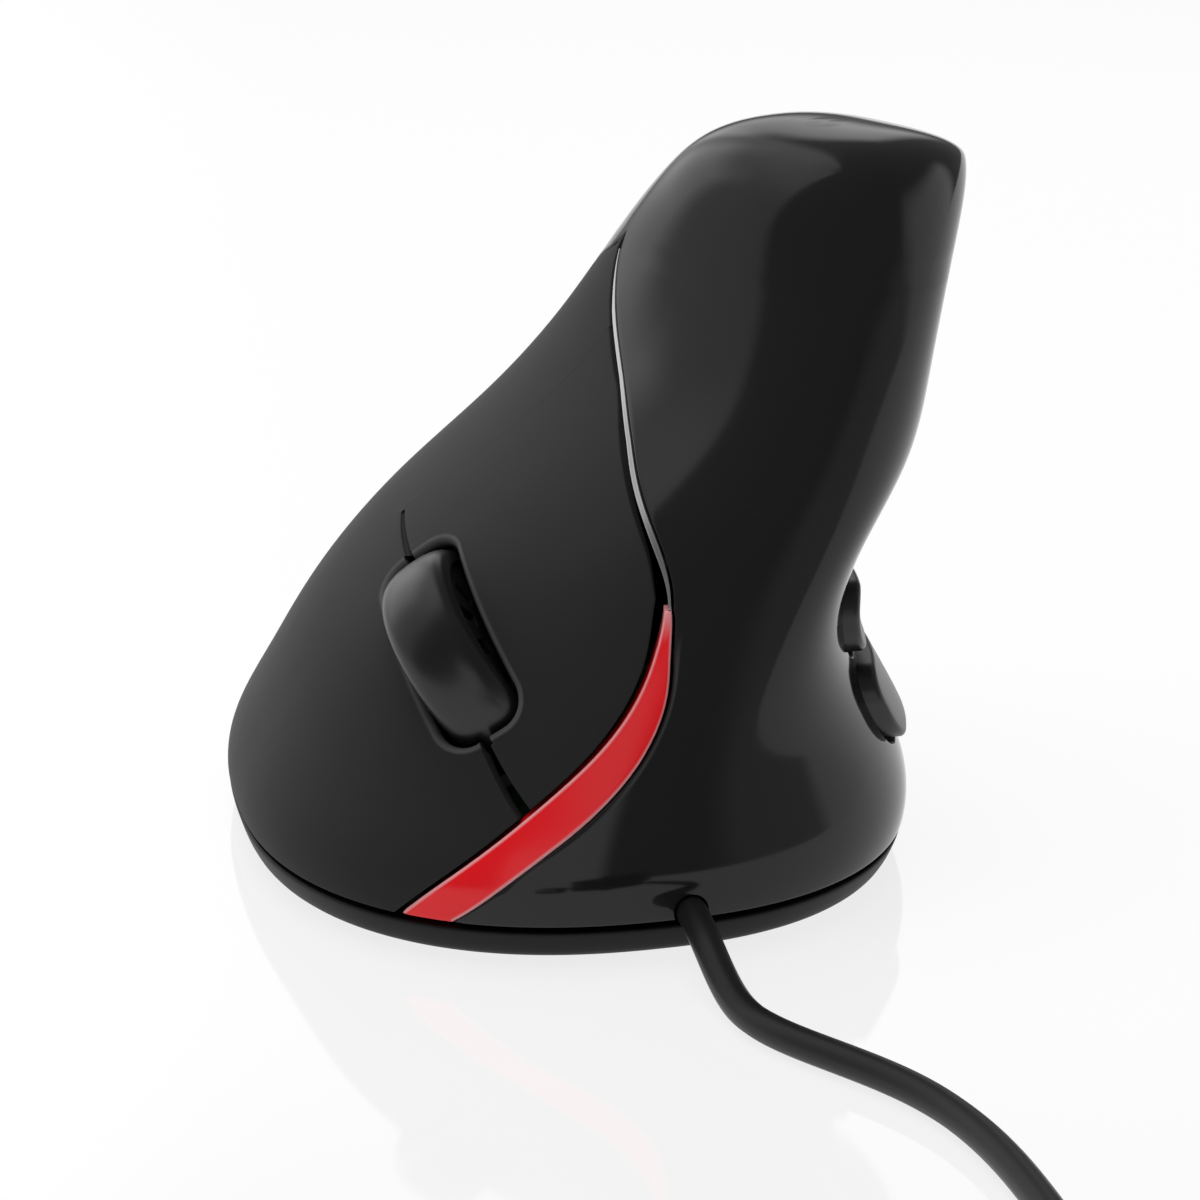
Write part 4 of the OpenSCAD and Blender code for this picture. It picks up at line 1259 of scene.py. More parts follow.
@dataclass
class Piece:
    """One finished object: what it rides on, its finish and the nodes that it stands for."""

    obj: bpy.types.Object
    body: Body
    slot: Slot
    nodes: tuple[str, ...]

    def dress(self) -> None:
        """Give the piece its material, and tell the frame about it."""
        if not any(self.obj.data.materials):
            self.obj.data.materials.clear()
            self.obj.data.materials.append(FINISHES[self.slot].material())
        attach(self.obj, self.body.value)
        if self.nodes:
            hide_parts(*self.nodes)
        LOG.info("%s rides on %s for %s", self.obj.name, self.body.value, self.nodes)


@dataclass
class SubAssembly:
    """Pieces that are built and dressed together."""

    pieces: list[Piece] = field(default_factory=list)

    def add(self, obj: bpy.types.Object, body: Body, slot: Slot, *nodes: str) -> bpy.types.Object:
        """Keep an object as a piece: its body, its finish's slot and the nodes that it stands for."""
        self.pieces.append(Piece(obj, body, slot, nodes))
        return obj

    def build(self) -> None:
        """Make the meshes."""
        raise NotImplementedError

    def dress(self) -> None:
        """Give every piece its finish and its body."""
        for piece in self.pieces:
            piece.dress()


def joint(name: str) -> dict:
    """One joint of the frame by its name."""
    return next(row for row in frame["joints"] if row["name"] == name)


def wheel_stand() -> Stand:
    """Find the wheel's frame: the middle of its axle, along the slit, the axle, and out of the skin.

    Returns:
        The frame.
    """
    spin, press = joint("wheel_spin"), joint("wheel_press")
    axle = unit(np.array(spin["axis"]))
    out = unit(-np.array(press["axis"]))
    return Stand(np.array(spin["pos_m"]) / MM, np.cross(axle, out), axle, out)


def thumb_stand(place: tuple[float, float]) -> Stand:
    """Find the thumb keys' frame: back along the body, up, and level out of the shell.

    Args:
        place: Angle and station of the keys' middle.

    Returns:
        The frame.
    """
    turn, station = np.array(place)
    out = unit(SKIN.normal(turn, station) * (1, 1, 0))
    return Stand(SKIN.at(turn, station), np.cross(Z, out), Z, out)


@dataclass
class ThumbKeys(SubAssembly):
    """The two keys on the thumb side, and the outlines of their windows."""

    length: float = 25.0
    height: float = 8.6
    corner: float = 3.6
    rise: float = 5.2
    proud: float = 1.8
    gap: float = 0.45
    edge: float = 0.7
    back: float = 4.6
    cap_start: float = 0.04
    cap_rings: int = 9
    edge_steps: int = 6
    crease: float = 50.0
    place: tuple[float, float] = (163.0, 3.6)

    def outline(self, side: Side, margin: float) -> np.ndarray:
        """Places and outward normals round a key, or with a margin round its window."""
        bar = bar_outline(self.length + 2 * margin, self.height + 2 * margin, self.corner + margin)
        return bar + (0, side.value * self.rise, 0, 0)

    def key(self, name: str, side: Side) -> bpy.types.Object:
        """Make one key: a domed cap with rounded edges and straight sides.

        Args:
            name: The object's name.
            side: Which key.

        Returns:
            The new object.
        """
        stand = thumb_stand(self.place)
        outline = self.outline(side, 0.0)
        places, ways = outline[:, :2], outline[:, 2:]
        middle = np.array([0.0, side.value * self.rise])
        inset = places - self.edge * ways
        shares = np.linspace(self.cap_start, 1.0, self.cap_rings)
        levels = [(middle + share * (inset - middle), self.proud) for share in shares]
        for cos, sin in arc(self.edge_steps)[1:]:
            levels.append((places - self.edge * (1 - sin) * ways, self.proud - self.edge * (1 - cos)))
        rings = [SKIN.lifted(*SKIN.over(stand, row, self.place), height) for row, height in levels]
        rings.append(rings[-1] - self.back * stand.out)
        made = loft(name, rings[::-1])
        shade(made, self.crease)
        return made

    def build(self) -> None:
        """Make both keys."""
        self.add(self.key("upper_key", Side.UPPER), Body.UPPER_KEY, Slot.KEYS, "thumb_key_upper")
        self.add(self.key("lower_key", Side.LOWER), Body.LOWER_KEY, Slot.KEYS, "thumb_key_lower")


@dataclass
class ScrollWheel(SubAssembly):
    """The rubber tyre, and the slot that it stands in."""

    diameter: float = 26.0
    width: float = 8.4
    proud: float = 5.2
    tyre: float = 2.6
    shoulder: float = 2.3
    fullness: float = 0.8
    room: float = 0.6
    dip: float = 3.2
    slot_corner: float = 3.2
    corner_steps: int = 24
    section_steps: int = 36
    sides: int = 160
    crease: float = 40.0
    place: tuple[float, float] = (25.0, 4.4)

    def outline(self) -> np.ndarray:
        """Outline of the slot, long enough for the tyre where it passes the slot's lip.

        Returns:
            Rows of two places and their outward normal.
        """
        radius = self.diameter / 2
        chord = math.sqrt(radius**2 - (radius - self.proud - self.dip) ** 2)
        length, width = 2 * (chord + self.room), self.width + 2 * self.room
        return bar_outline(length, width, self.slot_corner, self.corner_steps)

    def profile(self) -> list[tuple[float, float]]:
        """Draw the tyre's full round section.

        Returns:
            Distance from the axle, and place along it, of each point.
        """
        radius, half = self.diameter / 2, self.width / 2
        sweep = np.linspace(0, math.pi, self.section_steps + 1)
        across = half * power(np.cos(sweep), self.fullness)
        away = radius - self.shoulder * (1 - np.abs(np.sin(sweep)) ** self.fullness)
        inner = radius - self.tyre
        return [(inner, half), *zip(away, across), (inner, -half)]

    def build(self) -> None:
        """Make the tyre by turning its section round the axle."""
        stand = wheel_stand()
        rings = [
            stand.world(np.insert(circle(2 * away, self.sides), 1, across, axis=1))
            for away, across in self.profile()
        ]
        made = solid("wheel_rubber", np.concatenate(rings), ring_faces(len(rings), self.sides))
        shade(made, self.crease)
        self.add(made, Body.WHEEL, Slot.TYRE, "wheel_tyre")


@dataclass
class Shells(SubAssembly):
    """The gloss shell, the satin panel with its two buttons, and the inlays along the seam."""

    keys: ThumbKeys = field(default_factory=ThumbKeys)
    wheel: ScrollWheel = field(default_factory=ScrollWheel)
    lip: float = 0.2
    inlay_lip: float = 0.3
    # How far under the stripe's tip its painted highlight spreads right across.
    stripe_highlight_fade: float = 0.5
    line_lip: float = 0.08
    slot_lip: float = 1.0
    slot_fall: float = 0.1
    slot_bead: float = 0.2
    window_lip: float = 0.2
    button_t: float = 1.2
    slit: Places = ((-15, 5.1), (2, 4.85), (25, 4.4), (45, 3.7), (64.5, 2.85))
    slit_w: Guide = (0.35, 0.7, 0.85, 1.0, 1.1)
    index_corner: float = 5.0
    flex_gap: float = 0.02
    ring_start: float = 8.25
    ring_turn: float = -43.0
    ring_top: float = 11.97
    panel_tip: tuple[float, float] = (-42.6, 8.17)
    cord_exit: Triple = (0.7, 45.9, 5.6)
    cord_way: float = 3.8
    cord_reach: float = 8.0
    window_reach: float = 14.0
    shell_rows: int = 104
    shell_cols: int = 180
    ring_rows: int = 48
    ring_ease: float = 1.6
    panel_rows: tuple[int, int, int] = (90, 14, 6)
    panel_cols: int = 90
    panel_point: float = 0.05
    flex_halvings: int = 30
    front_points: int = 5
    top_points: int = 7
    bottom_points: int = 3
    button_cells: tuple[int, int] = (96, 80)
    slit_points: int = 200
    slit_room: float = 0.005
    inlay_cols: int = 12
    stripe_rows: int = 180
    line_rows: int = 160
    # Strength of the painted highlight across the stripe's tip.
    tip_highlight: float = 0.7
    tip_gaps: tuple[float, float] = (0.03, 0.01)

    @property
    def flex_turn(self) -> float:
        """Angle of the line on which the buttons flex."""
        return self.slit[0][0]

    def flex_top(self, margin: float = 0.0) -> float:
        """Station where the buttons' front edge meets the line on which they flex, found by halving.

        Args:
            margin: How far inside the front edge.

        Returns:
            The station.
        """
        low, high = self.index_corner, SKIN.seam_end
        for _ in range(self.flex_halvings):
            middle = (low + high) / 2
            ahead = SKIN.button_edge(np.float64(middle), margin) > self.flex_turn
            low, high = (middle, high) if ahead else (low, middle)
        return low

    def gloss_shell(self) -> bpy.types.Object:
        """Make the shell of the thumb side, the front and the crown, with its openings.

        Returns:
            The new object.
        """
        stations = np.linspace(SKIN.lower_edge(self.lip), SKIN.seam_end, self.shell_rows)
        start = SKIN.beside_inlay(SKIN.inlay_width(stations) + SKIN.inlay_gap + self.lip, stations)
        finish = SKIN.beside_rear(-SKIN.skin_gap / 2 - self.lip, stations) + 360
        turn, station = strip(stations, start, finish, self.shell_cols)
        rise = 1 - (1 - np.linspace(0, 1, self.ring_rows)) ** self.ring_ease
        rings = self.ring_start + (self.ring_top - self.ring_start) * rise
        ring_turn = np.full(len(rings), self.ring_turn)
        more_turn, more_station = strip(rings, ring_turn, ring_turn + 360, self.shell_cols)
        turn, station = np.concatenate([turn, more_turn]), np.concatenate([station, more_station])
        made = Sheet(turn, station, self.lip, first_ring=len(stations)).build("gloss_shell")
        stand = thumb_stand(self.keys.place)
        fall = SKIN.wall - self.window_lip
        cutters = [self.cord_cutter()]
        rims = []
        for side in Side:
            window = self.keys.outline(side, self.keys.gap)
            wide = self.keys.outline(side, self.keys.gap + self.window_lip)
            cutters.append(stand.prism("window", wide, -self.window_reach, self.window_reach))
            rims.append(rim("window_rim", stand, window, self.keys.place, self.window_lip, fall))
        cut(made, cutters)
        join(made, rims)
        shade(made)
        return made

    def cord_cutter(self) -> bpy.types.Object:
        """Make the round bar that opens the cord's way through the front."""
        stand = Stand(np.array(self.cord_exit), Z, X, Y)
        return stand.prism("cord_way", circle(self.cord_way), -self.cord_reach, self.cord_reach)

    def finger_panel(self) -> bpy.types.Object:
        """Make the fixed rear part of the satin side.

        Returns:
            The new object.
        """
        top = self.flex_top()
        below, above, tip_rows = self.panel_rows
        lower = np.linspace(SKIN.lower_edge(self.lip), top, below)
        stations = np.append(lower, np.linspace(top, SKIN.seam_end, above)[1:])
        start = SKIN.beside_rear(SKIN.skin_gap / 2 + self.lip, stations)
        flex = self.flex_turn - SKIN.turn_for(self.flex_gap, np.float64(self.flex_turn), stations)
        finish = np.minimum(flex, SKIN.beside_seam(-SKIN.skin_gap / 2 - self.lip, stations))
        tip_turn, tip_station = self.panel_tip
        share = np.linspace(0, 1, tip_rows)[1:]
        start = np.append(start, start[-1] + (tip_turn - start[-1]) * share)
        finish = np.append(finish, finish[-1] + (tip_turn + self.panel_point - finish[-1]) * share)
        stations = np.append(stations, SKIN.seam_end + (tip_station - SKIN.seam_end) * share)
        grid = strip(stations, start, finish, self.panel_cols)
        made = Sheet(*grid, self.lip, plain_front=below - 1).build("satin_panel")
        shade(made)
        return made

    def slit_edge(self, side: Side, margin: float = 0.0) -> np.ndarray:
        """Places along a button's edge on the slit, ending on the buttons' front edge.

        Args:
            side: Above or below the slit.
            margin: How far inside the button's edges.

        Returns:
            Rows of an angle and a station.
        """
        places = np.array(self.slit, float)
        away = np.array(self.slit_w) / 2 + margin
        places[:, 1] += side.value * SKIN.rise_for(away, places[:, 0], places[:, 1])
        places[-1, 0] = SKIN.button_edge(places[-1, 1], margin)
        return places

    def front_edge(self, low: float, high: float, count: int) -> np.ndarray:
        """Places inside the buttons' front edge between two stations, a lip's width from it."""
        stations = np.linspace(low, high, count)
        return np.stack([SKIN.button_edge(stations, self.lip), stations], -1)

    def button(self, name: str, side: Side) -> bpy.types.Object:
        """Make one finger button over a patch between its four edges, with its half of the wheel's slot.

        Args:
            name: The object's name.
            side: Above or below the slit.

        Returns:
            The new object.
        """
        edge = self.slit_edge(side, self.lip)
        if side is Side.UPPER:
            top = self.flex_top(self.lip)
            low, high = edge, self.front_edge(top, self.index_corner, self.top_points)
            front = self.front_edge(edge[-1, 1], self.index_corner, self.front_points)
        else:
            bottom = SKIN.lower_edge(self.lip)
            front = self.front_edge(bottom, edge[-1, 1], self.front_points)
            low, high = np.linspace((self.flex_turn, bottom), front[0], self.bottom_points), edge
        back = np.array([low[0], high[0]])
        s, t = (np.linspace(0, 1, cells + 1) for cells in self.button_cells)
        ahead, up = s[None, :, None], t[:, None, None]
        across = mix(along(low, s)[None], along(high, s)[None], up)
        upward = mix(along(back, t)[:, None], along(front, t)[:, None], ahead)
        corners = mix(mix(low[0], high[0], up), mix(low[-1], high[-1], up), ahead)
        places = across + upward - corners
        made = Sheet(places[..., 0], places[..., 1], self.lip, self.button_t, plain_back=True).build(name)
        self.open_slot(made, side)
        shade(made)
        return made

    def open_slot(self, button: bpy.types.Object, side: Side) -> None:
        """Cut the wheel's slot out of a button, and add its half of the slot's lip.

        Args:
            button: The button.
            side: Above or below the slit.
        """
        stand = wheel_stand()
        outline = self.wheel.outline()
        wide = outline[:, :2] + self.slot_lip * outline[:, 2:]
        turn, station = SKIN.over(stand, outline[:, :2], self.wheel.place)
        edge = along(self.slit_edge(side), np.linspace(0, 1, self.slit_points))
        limit = np.interp(turn, edge[:, 0], edge[:, 1])
        keep = side.value * (station - limit) >= self.slit_room
        cut(button, [stand.prism("slot", wide, 0.0, self.wheel.diameter)])
        bezel = (self.wheel.place, self.slot_lip, self.slot_fall, keep, self.slot_bead)
        join(button, [rim("slot_rim", stand, outline, *bezel)])

    def inlay(
        self, name: str, low: float, high: float, rows: int, lip: float, fade: float = 0.0
    ) -> bpy.types.Object:
        """Make an inlay beside the seam, with the distance from its rim kept as the mask of its painted highlight.

        Args:
            name: The object's name.
            low: Station of its lower end.
            high: Station of its upper end.
            rows: Steps along it.
            lip: Radius of its rounded edges.
            fade: How many stations under its upper end the painted rim highlight spreads right across.

        Returns:
            The new object.
        """
        stations = np.linspace(low, high, rows + 1)
        start, width = SKIN.inlay_start(stations), SKIN.inlay_width(stations)
        span = width - start - 2 * lip
        share = np.linspace(0, 1, self.inlay_cols + 1)
        turn = np.stack([SKIN.beside_inlay(start + lip + span * part, stations) for part in share], 1)
        made = Sheet(turn, np.repeat(stations[:, None], len(share), axis=1), lip).build(name)
        edges = np.concatenate([SKIN.at(SKIN.beside_inlay(w, stations), stations) for w in (start, width)])
        tree = KDTree(len(edges))
        for number, point in enumerate(edges):
            tree.insert(Vector(point * MM), number)
        tree.balance()
        # Near the stripe's tip the painted highlight spreads right across it.
        spread = np.zeros(len(stations))
        if fade:
            spread = self.tip_highlight * np.clip((stations - high) / fade + 1, 0, 1)
        marks = []
        for vertex in made.data.vertices:
            _, number, distance = tree.find(vertex.co)
            marks.append(max(1 - distance / (RIM_WIDTH * MM), spread[number % len(stations)]))
        mark_rim_highlight(made, marks)
        shade(made)
        return made

    def build(self) -> None:
        """Make the shells, the buttons and the inlays."""
        stripe_end, line_start = SKIN.stripe_tip - self.tip_gaps[0], SKIN.stripe_tip + self.tip_gaps[1]
        self.add(self.gloss_shell(), Body.HOUSING, Slot.GLOSS_SHELL, "main_shell")
        self.add(self.finger_panel(), Body.HOUSING, Slot.SATIN_PANEL, "finger_panel")
        self.add(self.button("index_cap", Side.UPPER), Body.INDEX, Slot.SATIN_PANEL, "index_button")
        self.add(self.button("middle_cap", Side.LOWER), Body.MIDDLE, Slot.SATIN_PANEL, "middle_button")
        bottom = SKIN.lower_edge(self.inlay_lip)
        edge = (self.inlay_lip, self.stripe_highlight_fade)
        stripe = self.inlay("red_stripe", bottom, stripe_end, self.stripe_rows, *edge)
        self.add(stripe, Body.HOUSING, Slot.STRIPE, "accent_stripe")
        line = self.inlay("silver_line", line_start, SKIN.seam_end, self.line_rows, self.line_lip)
        self.add(line, Body.HOUSING, Slot.LINE, "accent_line")


@dataclass
class Base(SubAssembly):
    """The shallow tray under the shells, its glide feet and its case screws."""

    shells: Shells = field(default_factory=Shells)
    sides: int = 240
    height: float = 4.0
    floor: float = 2.0
    heel: float = 1.1
    lip: float = 0.35
    feet: Places = ((22, 26), (-19, 26), (17, -30), (-7, -31))
    foot_d: float = 13.0
    foot_seat: float = 0.4
    foot_room: float = 0.15
    bosses: Guide = (118, 222, -38, -85)
    boss_station: float = 1.7
    boss_inset: float = 7.0
    head_d: float = 4.6
    head_h: float = 1.6
    head_sink: float = 0.2
    head_room: float = 0.3
    recess: Triple = (2.6, 0.7, 0.9)
    tongue_room: float = 0.9
    tongue_t: float = 1.0
    tongue_h: float = 1.6
    sensor: tuple[float, float] = (-2.0, 0.0)
    window: Triple = (8.0, 6.0, 2.0)
    bottom_rings: Guide = (24.0, 12.0, 4.0)
    floor_rings: Guide = (6.0, 14.0, 24.0)
    heel_steps: int = 6
    edge_steps: int = 4
    side_start: float = 0.4
    side_rings: int = 5
    floor_station: float = 0.5
    foot_edge: float = 0.35
    foot_flat: float = 0.5
    foot_sides: int = 64
    head_edge: float = 0.4
    head_flat: float = 0.4
    head_sides: int = 40
    blade_round: float = 0.1
    blade_steps: int = 2

    def level(self, station: float, depth: float, z: float | None = None) -> np.ndarray:
        """Find a ring of points round the base.

        Args:
            station: Its place up the form.
            depth: How far it lies under the skin.
            z: A level of its own, or None for the form's.

        Returns:
            The points.
        """
        turn = np.linspace(0, 360, self.sides, endpoint=False)
        ring = SKIN.at(turn, np.full(self.sides, station), depth)
        if z is not None:
            ring[:, 2] = z
        return ring

    def upright(self, x: float, y: float) -> Stand:
        """A frame that stands upright over a place on the desk."""
        return Stand(np.array([x, y, 0.0]), X, Y, Z)

    def round_cutter(self, x: float, y: float, diameter: float, high: float) -> bpy.types.Object:
        """Make an upright round bar from under the base up to a level."""
        return self.upright(x, y).prism("cutter", circle(diameter), -CUT_PAST, high)

    def boss_places(self) -> np.ndarray:
        """Places of the screws on the desk plane."""
        turn = np.array(self.bosses, float)
        return SKIN.at(turn, np.full(len(turn), self.boss_station), self.boss_inset)[:, :2]

    def tray(self) -> bpy.types.Object:
        """Make the tray with its foot seats, counterbores, sensor window and the cord's way.

        Returns:
            The new object.
        """
        bottom = SKIN.foot_proud
        gap = SKIN.rise_for(SKIN.skin_gap, np.float64(0), np.float64(SKIN.parting))
        rim_station = SKIN.parting - float(gap)
        side_end = rim_station - self.lip / self.height
        rings = [self.level(0, depth, bottom) for depth in self.bottom_rings]
        for cos, sin in arc(self.heel_steps):
            rise = self.heel * (1 - cos)
            rings.append(self.level(rise / self.height, self.heel * (1 - sin), bottom + rise))
        rings += [self.level(s, 0) for s in np.linspace(self.side_start, side_end, self.side_rings)]
        for cos, sin in arc(self.edge_steps)[1:]:
            station = rim_station - self.lip * (1 - sin) / self.height
            rings.append(self.level(station, self.lip * (1 - cos)))
        tongue_in = SKIN.wall + self.tongue_room
        tongue_out = tongue_in + self.tongue_t
        tongue_top = rim_station + self.tongue_h / self.height
        rings += [self.level(rim_station, depth) for depth in (SKIN.wall, tongue_in)]
        rings += [self.level(tongue_top, depth) for depth in (tongue_in, tongue_out)]
        floor = bottom + self.floor
        depths = (tongue_out, *self.floor_rings)
        rings += [self.level(self.floor_station, depth, floor) for depth in depths]
        made = loft("base_tray", rings)
        top = bottom + self.head_sink + self.head_h + SKIN.seat_gap
        cutters = [self.shells.cord_cutter()]
        for x, y in self.feet:
            seat = bottom + self.foot_seat
            cutters.append(self.round_cutter(x, y, self.foot_d + 2 * self.foot_room, seat))
        for x, y in self.boss_places():
            cutters.append(self.round_cutter(x, y, self.head_d + 2 * self.head_room, top))
        outline = bar_outline(*self.window)
        cutters.append(self.upright(*self.sensor).prism("cutter", outline, -CUT_PAST, floor + CUT_PAST))
        cut(made, cutters)
        shade(made)
        return made

    def disc(self, radius: float, height: float, edge: float, flat: float, sides: int) -> bpy.types.Object:
        """Make an upright disc with a rounded lower edge and an inner ring at a share of its radius."""
        rounded = [(radius - edge * (1 - s), edge * (1 - c)) for c, s in arc(self.edge_steps)]
        return turned("disc", [(radius * flat, 0.0), *rounded, (radius, height)], sides)

    def foot(self) -> bpy.types.Object:
        """Make one glide foot."""
        height = SKIN.foot_proud + self.foot_seat
        return self.disc(self.foot_d / 2, height, self.foot_edge, self.foot_flat, self.foot_sides)

    def screw_head(self) -> bpy.types.Object:
        """Make one screw head from below, with a cross recess.

        Returns:
            The new object.
        """
        head = self.disc(self.head_d / 2, self.head_h, self.head_edge, self.head_flat, self.head_sides)
        length, width, deep = self.recess
        stand = self.upright(0, 0)
        blades = [
            stand.prism("blade", bar_outline(*size, self.blade_round, self.blade_steps), -CUT_PAST, deep)
            for size in ((length, width), (width, length))
        ]
        cut(head, blades)
        return head

    def build(self) -> None:
        """Make the tray, then set the feet and the screws."""
        self.add(self.tray(), Body.HOUSING, Slot.BASE, "base_plate")
        feet = [(x, y, 0) for x, y in self.feet]
        pads = REPEATER.set_at("foot_pads", feet, self.foot(), FINISHES[Slot.FEET].material())
        self.add(pads, Body.HOUSING, Slot.FEET, "glide_feet")
        level = SKIN.foot_proud + self.head_sink
        heads = [(x, y, level) for x, y in self.boss_places()]
        steel = FINISHES[Slot.STEEL].material()
        screws = REPEATER.set_at("screw_heads", heads, self.screw_head(), steel)
        self.add(screws, Body.HOUSING, Slot.STEEL, "case_screws")


@dataclass
class CordSet(SubAssembly):
    """The cord: out of the front, over the desk, wound into a coil with a strap, and its plug."""

    diameter: float = 3.3
    root: Places = (
        (0.7, 22, 10.4), (0.7, 24.5, 10.4), (0.7, 27, 10.4), (0.7, 30.5, 9.1), (0.7, 34, 6.9),
        (0.7, 37, 5.65), (0.7, 39, 5.6), (0.7, 41, 5.6), (0.7, 43.5, 5.6), (0.7, 45.9, 5.6),
    )
    lead: Places = (
        (0.7, 45.9, 5.6), (0.7, 47.5, 5.5), (0.7, 52, 4.7), (0.5, 56, 3.3), (0, 61, 2),
        (-1.4, 66, 1.7), (-4.2, 71, 1.7), (-8, 76.5, 1.7), (-12, 83.5, 1.7), (-14.6, 92, 1.7),
        (-15.6, 102, 1.8), (-15.6, 114, 2), (-15.6, 128, 2.3), (-15.6, 140, 2.5), (-15.6, 149, 2.55),
        (-15.6, 153.05, 2.55),
    )
    coil_inner: float = 11.6
    coil_step: float = 3.8
    coil_low: float = 2.55
    turns: int = 3
    layers: int = 4
    climb: float = 0.5
    steps: int = 36
    coil_start: tuple[float, float] = (-15.6, 158.0)
    stub: float = 4.95
    tail_out: float = 10.0
    plug_z: float = 4.2
    lead_steps: int = 90
    root_steps: int = 39
    tail_steps: int = 40
    tube_steps: int = 4
    grip: Triple = (15.6, 20.0, 8.2)
    grip_round: float = 2.0
    grip_edge: float = 1.0
    grip_corner_steps: int = 8
    grip_crease: float = 40.0
    edge_steps: int = 4
    neck: float = 7.0
    neck_d: float = 4.9
    neck_rounds: tuple[float, float] = (2.02, 2.1)
    neck_swell: Triple = (0.35, 1.16, 1.03)
    shoulder: tuple[float, float] = (11.6, 6.2)
    shoulder_start: Triple = (0.8, 0.9, 0.96)
    rib: Bar = (0.9, 0.6, 0.29, 4)
    rib_edge: float = 0.12
    rib_inset: float = 3.2
    rib_start: float = 3.0
    rib_pitch: float = 1.7
    ribs_a_face: int = 4
    metal: Triple = (12.0, 12.0, 4.5)
    metal_hold: float = 5.0
    metal_t: float = 0.35
    metal_back: float = 1.0
    metal_rounds: tuple[float, float] = (0.6, 0.3)
    metal_corner_steps: int = 6
    latch: Bar = (2.2, 2.2, 0.15, 2)
    latch_aside: float = 2.6
    latch_back: float = 5.6
    tongue_t: float = 1.8
    tongue_short: float = 1.0
    contact: Bar = (1.0, 7.0, 0.12, 2)
    contact_levels: tuple[float, float] = (-0.07, 0.03)
    contact_back: float = 4.2
    contact_aside: Guide = (-3.5, -1.25, 1.25, 3.5)
    tie_t: float = 0.8
    tie_w: float = 6.0
    tie_room: float = 0.3
    tie_round: float = 1.0
    tie_edge: float = 0.18
    tie_corner_steps: int = 6
    cord: bpy.types.Object | None = None

    @property
    def outer(self) -> float:
        """Radius of the coil's outermost turn."""
        return self.coil_inner + self.turns * self.coil_step

    @property
    def middle(self) -> np.ndarray:
        """Middle of the coil on the desk."""
        return np.array([self.coil_start[0] + self.outer, self.coil_start[1]])

    def coil_level(self, q: float, layer: int) -> float:
        """Layer that the cord lies in, with a smooth climb where the spiral reverses.

        Args:
            q: Turns from the start of the coil.
            layer: The layer that this turn belongs to.

        Returns:
            The level, counted in layers.
        """
        nearest = round(q / self.turns)
        s = (q - nearest * self.turns) / self.climb + 0.5
        if nearest in (0, self.layers) or not 0 <= s <= 1:
            return float(layer)
        return nearest - 1 + smooth(s)

    def coil_point(self, q: float) -> Triple:
        """Find a point of the coil.

        Args:
            q: Turns from the start of the coil.

        Returns:
            The point.
        """
        layer = min(int(q / self.turns), self.layers - 1)
        share = q / self.turns - layer
        inward = share if layer % 2 == 0 else 1 - share
        radius = self.outer + (self.coil_inner - self.outer) * inward
        turn = math.pi - 2 * math.pi * q
        x, y = self.middle + radius * np.array([math.cos(turn), math.sin(turn)])
        return x, y, self.coil_low + self.coil_level(q, layer) * self.coil_step

    def tail_point(self, s: float) -> Triple:
        """Find a point of the tail, which runs down round the outside of the coil to the plug.

        Args:
            s: Share of the way to the plug.

        Returns:
            The point.
        """
        ease = smooth(s)
        radius = self.outer + self.tail_out * ease
        turn = math.pi - math.pi * s
        top = self.coil_low + (self.layers - 1) * self.coil_step
        start = self.coil_start[1] + self.stub + self.diameter
        return (
            self.middle[0] + radius * math.cos(turn),
            start + radius * math.sin(turn),
            top + (self.plug_z - top) * ease,
        )

    @property
    def plug_start(self) -> np.ndarray:
        """Where the cord goes into the plug."""
        return np.array(self.tail_point(1.0)) - (0, 2 * self.diameter, 0)

    def route(self) -> np.ndarray:
        """The cord's whole middle line, from the mouse to the plug.

        Returns:
            Its points in millimetres.
        """
        count = self.turns * self.layers * self.steps
        coil = [self.coil_point(i / self.steps) for i in range(count + 1)]
        last = np.array(coil[-1]) + (0, self.stub, 0)
        tail = [self.tail_point(i / self.tail_steps) for i in range(self.tail_steps + 1)]
        lead = along(self.lead, np.linspace(0, 1, self.lead_steps + 1))
        return np.concatenate([lead, coil, [last], tail, [self.plug_start]])

    def tube(self, name: str, points: np.ndarray) -> bpy.types.Object:
        """Make a round cord along points.

        Args:
            name: The object's name.
            points: The middle line.

        Returns:
            A curve object with one open spline.
        """
        curve = bpy.data.curves.new(name, "CURVE")
        curve.dimensions = "3D"
        curve.bevel_depth = self.diameter / 2 * MM
        curve.bevel_resolution = self.tube_steps
        curve.use_fill_caps = True
        spline = curve.splines.new("POLY")
        spline.points.add(len(points) - 1)
        spline.points.foreach_set("co", np.insert(points * MM, 3, 1.0, axis=1).ravel())
        spline.use_smooth = True
        return placed(name, curve)

    def strap(self) -> bpy.types.Object:
        """Make the strap round the coil's turns, on the side towards the mouse.

        Returns:
            The new object.
        """
        rise = (self.layers - 1) * self.coil_step
        room = self.diameter + 2 * self.tie_room
        length = self.outer - self.coil_inner + room
        inside = bar_outline(length, rise + room, self.tie_round, self.tie_corner_steps)
        outside = inside[:, :2] + self.tie_t * inside[:, 2:]
        x, y = self.middle - (self.tie_w / 2, (self.outer + self.coil_inner) / 2)
        stand = Stand(np.array([x, y, self.coil_low + rise / 2]), Y, Z, X)
        made = stand.prism("coil_strap", outside, 0.0, self.tie_w)
        cut(made, [stand.prism("strap_inside", inside, -CUT_PAST, self.tie_w + CUT_PAST)])
        round_edges(made, self.tie_edge)
        shade(made)
        return made

    def plug_stand(self) -> Stand:
        """The plug's frame: across, up, and the way that it points."""
        return Stand(self.plug_start, X, Z, -Y)

